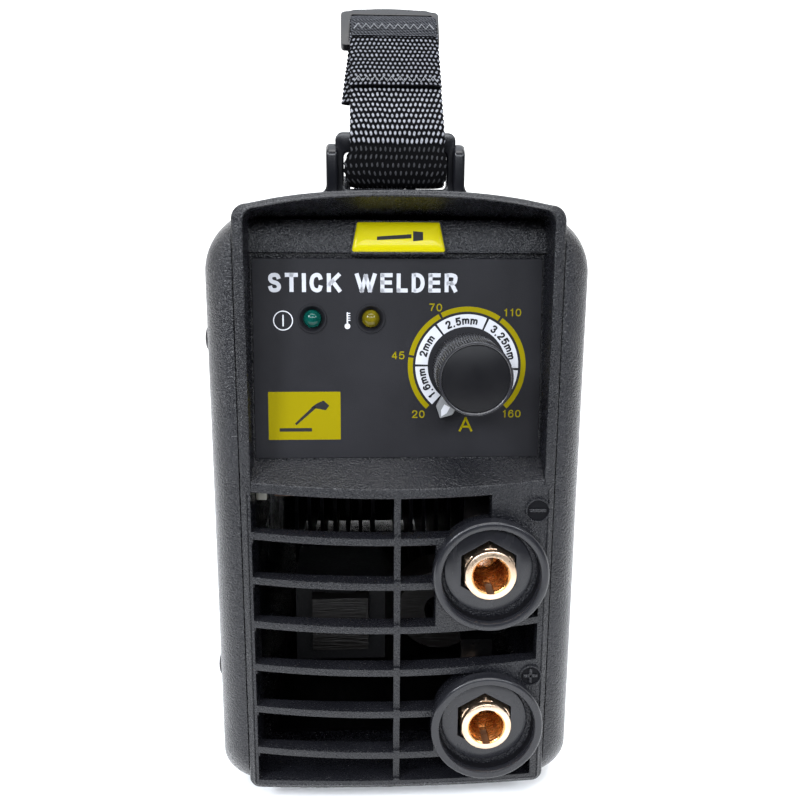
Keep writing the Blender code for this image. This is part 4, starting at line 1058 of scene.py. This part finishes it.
def badge_ring(inset, lift, radius):
    """The badge's trapezium, moved in by inset and up by lift, its corners rounded."""
    foot = 16.9 - inset
    head = 14.9 - inset
    top = 10.9 - inset
    outline = softened([(-foot, inset), (foot, inset), (head, top), (-head, top)], [radius] * 4, 6)
    return [(x, y, lift) for x, y in outline]


def build_badge(looks):
    """A domed badge in a raised surround, marked with a held rod."""
    low = 216.4
    high = 226.7
    tilt = math.degrees(math.atan2(brow_depth(high) - brow_depth(low), high - low))
    space = placed(0, BROW_FOOT[0] - 1, low, 90 - tilt)
    surround = ((-0.8, -1.2), (-0.8, 0.3), (-0.5, 0.6), (0, 0.6), (0.4, 0.2), (0.4, -1.2))
    rings = [badge_ring(inset, lift, 1.2) for inset, lift in surround]
    keep(lofted("badge_surround", rings, looks["moulding"], space, True))
    dome = [(0, -0.6), (0, 0.7), (0.15, 1), (0.5, 1.3)]
    dome += [(1.1, 1.55), (2, 1.72), (3.2, 1.8), (4.5, 1.83)]
    rings = [badge_ring(inset, lift, max(0.4, 1 - inset * 0.2)) for inset, lift in dome]
    keep(lofted("badge_dome", rings, looks["badge"], space, smooth=60), nodes=["badge"])
    marks = {
        "badge_rod": [(-7.8, 4), (4.6, 4.7), (4.6, 6.2), (-7.8, 5.3)],
        "badge_grip": [(5.2, 3.6), (8.8, 4), (8.8, 7), (5.2, 7.3)],
    }
    for name, outline in marks.items():
        keep(prism(name, outline, "Z", 1.6, 1.87, looks["black_ink"], space))


# ---------------------------------------------------------------- grille and sockets


def build_grille(look, dark):
    """A bowed plate with seven rows of openings, a centre rib and two round bosses."""
    rings = []
    steps = 40
    for i in range(steps + 1):
        x = GRILLE_HALF * (2 * i / steps - 1)
        near = bulge(x)
        front = [(x, near, RIM_FLOOR), (x, near, LIP_BOTTOM)]
        rings.append(front + [(x, GRILLE_BACK, LIP_BOTTOM), (x, GRILLE_BACK, RIM_FLOOR)])
    plate = lofted("front_slats", rings, look)
    cuts = []
    for row, right_end in enumerate(ROW_RIGHT_ENDS):
        low = max(SLAT_TOP - row * SLAT_PITCH, 12)
        high = SLAT_TOP - (row - 1) * SLAT_PITCH - SLAT_THICK + (0.6 if row == 0 else 0)
        for left, right in ((OPENING_LEFT, RIB[0]), (RIB[1], right_end)):
            cuts.append(block("opening", (left, -10, low), (right, 20, high), look))
        recess_low = (RIB[0] - 0.1, -10, low + 0.7)
        cuts.append(block("recess", recess_low, (RIB[1] + 0.1, bulge(0) + 1, high - 1.6), look))
    corner = SLAT_TOP - 2 * SLAT_PITCH
    cuts.append(block("opening", (47, -10, corner), (53.4, 20, corner + 4), look))
    for height in SOCKET_HEIGHTS.values():
        cuts.append(turned("neck_hole", rod(14.7, -30, 30), look, socket_space(height), 64))
    cut(plate, *cuts)
    for vertex in plate.data.vertices:
        vertex.co.z += slat_rise(vertex.co.z / MM, vertex.co.x / MM) * MM

    def inside(point):
        depth = point.y - FRONT
        return abs(point.x) < GRILLE_HALF - 0.4 and depth < 4 and 11.5 < point.z < 129

    ease(plate, 0.7, 4, 40, inside)
    keep(plate, nodes=["front_grille"])
    for row in range(6):
        under = SLAT_TOP - row * SLAT_PITCH - SLAT_THICK
        under += slat_rise(under, GRILLE_HALF)
        left = OPENING_LEFT - 0.4
        near = bulge(left) + 0.5
        low = (left, near, under - 2)
        high = (OPENING_LEFT + 0.6, GRILLE_BACK - 1, under + 0.4)
        keep(ease(block(f"end_collar_{row + 1}", low, high, look), 0.3, 2))
    for name, height in SOCKET_HEIGHTS.items():
        space = socket_space(height)
        profile = [(14.8, -4.6), (20.5, -4.6), (20.5, 2), (20.2, 2.45), (14.8, 2.45)]
        keep(turned(f"{name}_boss", profile, look, space, 96))
    build_polarity_marks(look, dark)


def build_polarity_marks(look, dark):
    """The embossed minus and plus signs in their rings, each on a near-black disc of painted shade."""
    for name, x, height, radius in (("minus", 52.2, 122.8, 4.7), ("plus", 52, 55.4, 4.4)):
        space = placed(x - 0.6, bulge(x), height, 90)
        ring = [(radius - 0.7, -1), (radius, -1), (radius, 0.6), (radius - 0.1, 0.9)]
        ring += [(radius - 0.6, 0.9), (radius - 0.7, 0.6)]
        keep(turned(f"{name}_ring", ring, look, space, 48))
        # A near-black disc in the ring's hollow: painted shade
        keep(turned(f"{name}_ground", rod(radius - 0.6, -1, 0.3), dark, space, 48))
        reach = radius - 1.5
        bars = [(reach, 0.6)] if name == "minus" else [(reach, 0.6), (0.6, reach)]
        for i, (a, b) in enumerate(bars):
            outline = rounded_rectangle(-a, a, -b, b, 0.3, 3)
            made = prism(f"{name}_bar_{i + 1}", outline, "Z", -1, 0.9, look, space)
            keep(ease(made, 0.15, 1))


def socket_space(height):
    """A socket's own space: X across, Z out of the front along its axis."""
    return placed(SOCKET_X, 0, height, 90)


def hexagon_reach(flats, turn):
    """Distance from the axis to a point-up hexagon's side at an angle."""
    within = (turn - math.pi / 6) % (math.pi / 3) - math.pi / 6
    return flats / 2 / math.cos(within)


def build_sockets(looks):
    for name, height in SOCKET_HEIGHTS.items():
        space = socket_space(height)
        build_flange(name, looks["flange"], looks["inner_black"], space)
        build_insert(name, looks, space)
        bolt = [(0, -18), (4, -18), (4, -13.5), (3.6, -12.7), (0, -12.4)]
        made = turned(f"{name}_bolt_tip", bolt, looks["zinc_steel"], space, 40)
        keep(made)
        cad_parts[f"{name}_socket_bolt"].data.materials[0] = looks["zinc_steel"]


def build_flange(name, look, dark, space):
    """Round collar with a raised ring, and a face plate inside it, with a hexagon hole for the insert. The
    groove between them is lined with near black as painted shade.
    """

    def hexagon_hole(radius, height, turn):
        return hexagon_reach(20.7, turn) if radius < 11.9 else radius

    profile = [(11.6, -16.5), (14.5, -16.5), (14.5, 2.4), (21.3, 2.4), (21.7, 2.8)]
    profile += [(21.7, 6.2), (21.5, 6.8), (21.1, 7.2), (20.6, 7.3), (19.2, 7.3)]
    profile += [(18.7, 7.1), (18.4, 6.6), (18.3, 5.8), (18.2, -1), (11.6, -1.2)]
    collar = turned(f"{name}_collar", profile, look, space, 144, hexagon_hole)
    keep(collar, nodes=[f"{name}_socket_flange"])
    face = [(11, -1), (16.8, -1), (16.8, 2.4), (16.6, 2.9), (16.2, 3.1)]
    face += [(11.8, 3.1), (11, 3.1), (11, 2.6)]
    offset = placed(-0.6, 1, 0, space=space)
    # A near-black lining on the wall and floor of the groove between face plate and ring: painted shade
    groove_painted_shade = [(16, -1.2), (18.15, -1.2), (18.15, 5), (17.9, 5), (17.8, -0.6), (16, -0.6)]
    keep(turned(f"{name}_groove", groove_painted_shade, dark, space, 96))
    keep(turned(f"{name}_face_plate", face, look, offset, 144, hexagon_hole))


def build_insert(name, looks, space):
    """Hexagonal metal body with a round face ring and a ridged bore with keyways above and below."""

    def hexagonal(radius, height, turn):
        if radius == 10.8:
            return min(hexagon_reach(18.6, turn), 9.9 + (3.1 - height) * 1.7)
        return radius

    body = [(8.2, -24), (10.8, -24), (10.8, 2.2), (10.8, 3.1), (9.6, 3.2)]
    body += [(9.6, 5.2), (9.5, 5.5), (9.2, 5.7), (7.3, 5.7)]
    metal = turned(f"{name}_insert_body", body, looks["brass_face"], space, 144, hexagonal)
    keep(metal, nodes=[f"{name}_socket_insert"])

    def keyed(radius, height, turn):
        angle = math.degrees(turn)
        in_keyway = abs(angle - 90) < 26 or abs(angle - 270) < 11
        if in_keyway and height > -6 and radius < 7.2:
            return 7.6
        return radius

    bore = [(8.2, -23.6), (8.3, 5.65), (6.9, 5.7), (6.6, 5.4)]
    depth = 4.6
    while depth > -17.5:
        bore += [(6.6, depth), (6.9, depth - 0.6), (6.6, depth - 1.2)]
        depth -= 1.5
    bore += [(4.4, -18.2), (4.3, -23.6)]
    made = turned(f"{name}_bore_wall", bore, looks["brass_bore"], space, 144, keyed, 25)
    keep(made)


# ---------------------------------------------------------------- strap


def smooth_route(points, spacing=0.7):
    """A Catmull-Rom line through (depth, height) points, sampled at an even spacing.

    Its length is summed in metres.
    """
    points = [[n * MM for n in point] for point in points]
    dense = [curve_point(points, i, step / 24) for i in range(len(points) - 1) for step in range(24)]
    dense.append(Vector(points[-1]))
    travelled = [0]
    for a, b in zip(dense, dense[1:]):
        travelled.append(travelled[-1] + (b - a).length)
    count = max(2, round(travelled[-1] / (spacing * MM)))
    route = []
    k = 0
    for i in range(count + 1):
        goal = travelled[-1] * i / count
        while k < len(dense) - 2 and travelled[k + 1] < goal:
            k += 1
        share = (goal - travelled[k]) / (travelled[k + 1] - travelled[k])
        route.append((goal / MM, dense[k].lerp(dense[k + 1], share) / MM))
    return route


def ribbon(name, points, look, offset=0, half=WEB_HALF, thick=WEB_THICK, lean=0, wave=0.22):
    """Webbing along a route, its edges slightly scalloped by the weave. Returns it and its length.

    lean moves its first end sideways, fading over 45 mm. The webbing spreads inside the lug's slot.
    """
    route = smooth_route(points)
    columns = 22
    rings = []
    uvs = []
    for i, (travel, point) in enumerate(route):
        shift = STRAP_SHIFT + lean * max(0, 1 - travel / 45)
        before = route[max(i - 1, 0)][1]
        after = route[min(i + 1, len(route) - 1)][1]
        along = (after - before).normalized()
        normal = Vector((-along.y, along.x))
        width = half + wave * math.sin(travel / 2.7 * math.tau)
        if point.x < 20:
            spread = max(0, 1 - ((point.y - 245.5) / 6) ** 2)
            width += 1.6 * spread
            shift -= 0.6 * spread
        ring = []
        for side in (1, -1):
            for k in range(columns + 1):
                share = (2 * k / columns - 1) * side
                plump = thick / 2 * (1 - abs(share) ** 12 * 0.75)
                lift = offset + side * plump
                ring.append((shift + width * share, point.x + normal.x * lift, point.y + normal.y * lift))
                uvs.append((share * half, travel))
        rings.append(ring)
    points_out, faces = skin(rings)
    return new_object(name, points_out, faces, look, FRONT_SPACE, 50, uvs), route[-1][0]


def zigzag(name, foot, turns, height, look):
    """A sewn thread across the front webbing, from a (depth, height) foot up the slope by a height."""
    slope = Vector((0.70, 0.714))
    proud = Vector((-slope.y, slope.x)) * 0.9
    curve = bpy.data.curves.new(name, "CURVE")
    curve.dimensions = "3D"
    curve.bevel_depth = 0.2 * MM
    curve.bevel_resolution = 2
    spline = curve.splines.new("POLY")
    spline.points.add(turns)
    for i, slot in enumerate(spline.points):
        across = (2 * i / turns - 1) * (WEB_HALF - 1.5) + STRAP_SHIFT
        depth, up = Vector(foot) + slope * height * (i % 2) + proud
        slot.co = (across * MM, (FRONT + depth) * MM, up * MM, 1)
    scratch = bpy.data.objects.new(name, curve)
    bpy.context.scene.collection.objects.link(scratch)
    bpy.context.view_layer.update()
    mesh = bpy.data.meshes.new_from_object(scratch.evaluated_get(bpy.context.evaluated_depsgraph_get()))
    bpy.data.objects.remove(scratch, do_unlink=True)
    mesh.materials.clear()
    mesh.materials.append(look)
    made = bpy.data.objects.new(name, mesh)
    bpy.context.scene.collection.objects.link(made)
    mesh.shade_smooth()
    return keep(made)


def strap_piece(name, points, look, held, rests_on, nodes=(), **shape):
    """A ribbon that rides on the machine."""
    made, length = ribbon(name, points, look, **shape)
    keep(made, nodes=nodes)
    return made


def build_strap(looks):
    """Front webbing round the lug and the slide's bar, sewn down, and the long webbing with its tail."""
    wrap = [(51.5, 301.8), (54, 303), (56.2, 302.9), (57.9, 301.7), (58.9, 299.8)]
    wrap += [(58.2, 297.5), (56, 296.2), (53.3, 297.2), (49.5, 297.2)]
    rise = [(41, 289.3), (32.5, 280.2), (23.5, 270.8)]
    lug_loop = [(16, 262.8), (11.8, 257.5), (10.2, 254), (10.4, 250)]
    lug_loop += [(11.2, 244.2), (13.4, 240.3), (17.2, 239.5), (20.6, 240.6)]
    lug_loop += [(22.7, 244.6), (23.1, 250), (23.8, 258), (26.2, 267)]
    loop_end = [(31, 275.2), (43.3, 288.4)]
    route = wrap[-1:] + rise + lug_loop + loop_end
    front = strap_piece(
        "strap_front_webbing", route, looks["webbing"], "stretched", ["front_lug_plate"], ["strap_front"]
    )
    # Painted shade on the webbing where it turns under the lug's bar
    paint_shade_under_bend(front, looks["webbing_dark"])
    fold = [(25.4, 274.6), (32.5, 282.1), (41, 291.3), (47.5, 298.2)]
    rests_on = ["strap_front_webbing", "strap_slide"]
    strap_piece("strap_front_fold", fold + wrap, looks["webbing_fine"], "folded", rests_on)
    band = [(43.6, 294.8), (47.5, 299), (51.2, 302.4), (54.4, 303.8)]
    shape = {"offset": 0.3, "half": WEB_HALF - 0.4, "thick": 0.9}
    strap_piece("strap_binding", band, looks["binding"], "laid", ["strap_front_fold"], **shape)
    for name, foot in (("hem_stitch", (25.9, 275.8)), ("binding_stitch", (45.2, 297.4))):
        zigzag(name, foot, 20, 3, looks["thread"])

    tail = [(33.5, 269.5), (38.5, 274.5), (45.5, 281.2), (53.5, 288), (59, 294)]
    over = [(64.5, 301.5), (72, 307.8), (82, 311.8), (100, 315.5), (125, 318)]
    over += [(150, 319), (175, 317.8), (200, 314), (220, 308.5)]
    over += [(240, 300), (258, 286), (270, 273.5)]
    rear_loop = [(BODY_LENGTH - depth, height) for depth, height in lug_loop + loop_end]
    route = tail + over + rear_loop
    strap_piece(
        "strap_rear_webbing",
        route,
        looks["webbing"],
        "stretched",
        ["rear_lug_plate"],
        ["strap_rear"],
        lean=-3.2,
    )
    build_buckle(looks["buckle"])


def paint_shade_under_bend(made, dark):
    """Painted shade: the webbing takes a darker copy of its material on the faces where it turns down and
    back through the lug.
    """
    made.data.materials.append(dark)
    for face in made.data.polygons:
        if face.center.z < 253.6 * MM:
            face.material_index = 1


def build_buckle(look):
    """Three-bar slide with softly rounded bars. Its far bar is bowed outwards."""
    space = placed(*SLIDE_CENTRE, SLIDE_TILT)
    outline = rounded_rectangle(-19, 19, -8.5, 7.6, 1.6)
    bow = [(x, 7.6 + 1.6 * (1 - (x / 18) ** 2)) for x in (18, 13.5, 9, 4.5, 0)]
    bow += [(-x, y) for x, y in bow[-2::-1]]
    corner = len(outline) // 2
    made = prism("strap_slide", outline[:corner] + bow + outline[corner:], "Z", -1.7, 1.7, look, space)
    gaps = [
        prism("gap", rounded_rectangle(-15, 16.6, near, far, 0.8), "Z", -10, 10, look, space)
        for near, far in ((-6.4, -1.1), (1.1, 6.2))
    ]
    cut(made, *gaps)
    ease(made, 0.6, 3)
    keep(made, nodes=["strap_buckle"])


# ---------------------------------------------------------------- rear face and inside


def build_inside(looks):
    """Parts at the control board's lower edge, seen through the grille's top row."""
    parts = (
        ("plug_left", -55.2, -50.9, 119.3, "inner_pale"),
        ("board_strip", -48.1, -26.4, 120.8, "inner_brown"),
        ("film_capacitor", 2.1, 7.7, 119.3, "inner_yellow"),
        ("trimmer", 8.9, 13.2, 119.5, "zinc_steel"),
        ("relay_end", 23.1, 35, 120, "inner_pale"),
    )
    for name, left, right, low, look in parts:
        made = block(name, (left, 24, low), (right, 27.5, 130.5), looks[look])
        keep(ease(made, 0.5, 2))


def repaint(looks):
    """Better materials for the CAD pieces whose shape is already right."""
    # Near-black colours for the tray, heatsinks, boards and windings paint the shade inside the casing; the
    # heatsinks' black is partly their own finish.
    board = board_material()
    sheet = machined_metal("tray_sheet", (0.006, 0.006, 0.007), 0.45, (1.0, 0.2, 1.0), 400.0)
    alloy = machined_metal("sink_alloy", (0.005, 0.005, 0.006), 0.40, (1.0, 0.08, 1.0), 900.0)
    plain = {
        "control_board": board,
        "main_board": board,
        "chassis_tray": sheet,
        "primary_heatsink": alloy,
        "secondary_heatsink": alloy,
        "drive_heatsink": alloy,
        "knob_shaft": looks["zinc_steel"],
        "potentiometer": looks["zinc_steel"],
        "negative_bus_bar": looks["black_steel"],
        "positive_bus_bar": looks["black_steel"],
        "output_choke": winding_material("choke_winding"),
        "transformer_winding": winding_material("transformer_tape"),
        "transformer_core": grained_plastic("ferrite", (0.004, 0.004, 0.005), 0.65, 900.0, 0.0001),
        "rectifier_bridge": grained_plastic("chip", (0.020, 0.020, 0.022), 0.50, 1500.0, 0.00003),
        "fan_frame": grained_plastic("fan_plastic", (0.020, 0.020, 0.022), 0.50, 1500.0, 0.00004),
        "mains_switch": looks["switch"],
        "mains_rocker": looks["rocker"],
        "cable_gland": looks["gland"],
        "gland_nut": looks["gland"],
        "rear_panel": looks["moulding"],
    }
    plain["fan_rotor"] = plain["fan_frame"]
    for i in (1, 2, 3):
        plain[f"bulk_capacitor_{i}"] = smooth_plastic(f"sleeve_{i}", (0.006, 0.006, 0.010), 0.40)
    for name, look in plain.items():
        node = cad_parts[name]
        node.data.materials.clear()
        node.data.materials.append(look)
        node.data.polygons.foreach_set("material_index", [0] * len(node.data.polygons))


def board_material():
    """Circuit board in near-black brown, painted shade inside the casing, with faint tracks under the
    lacquer.
    """
    made, tree, shader = material("board", (0.008, 0.006, 0.004), 0.6)
    tracks = noise(tree, 300.0, 1.0, 0.4, (1.0, 6.0, 1.0))
    lines = ranged(tree, tracks, 0.48, 0.52, 0.0, 1.0)
    tone = blended(tree, lines, (0.006, 0.005, 0.004), (0.010, 0.007, 0.005))
    tree.links.new(tone, shader.inputs["Base Color"])
    raised(tree, shader, lines, 0.00003)
    return made


def winding_material(name):
    """Wound wire or tape, near black as painted shade inside the casing: fine parallel turns."""
    colour = (0.006, 0.004, 0.003)
    made, tree, shader = material(name, colour, 0.4)
    turns = noise(tree, 500.0, 1.0, 0.4, (0.2, 0.2, 4.0))
    tree.links.new(blended(tree, turns, [c * 0.5 for c in colour], colour), shader.inputs["Base Color"])
    raised(tree, shader, turns, 0.0003)
    return made


def main():
    build_camera()
    build_studio()
    looks = build_materials()
    ends = (
        ("front", FRONT_SPACE, GRILLE_HALF, LUG_SHIFT),
        ("rear", REAR_SPACE, RIM_HALF - RIM_WALL, -LUG_SHIFT),
    )
    for end, space, low_half, shift in ends:
        rim = build_rim(f"{end}_rim", looks["moulding"], space, low_half)
        keep(rim, nodes=[f"{end}_bezel"])
        build_lug(f"{end}_lug", looks["lug"], placed(shift, 0.0, 0.0, space=space))
    build_shells(looks["shell"])
    build_side_screws(looks["black_steel"])
    build_feet(looks["rubber"])
    build_fascia(looks["moulding"])
    build_overlay(looks)
    build_lamps(looks)
    build_prints(looks)
    build_knob(looks)
    build_badge(looks)
    build_grille(looks["moulding"], looks["inner_black"])
    build_sockets(looks)
    build_strap(looks)
    build_inside(looks)
    repaint(looks)


main()
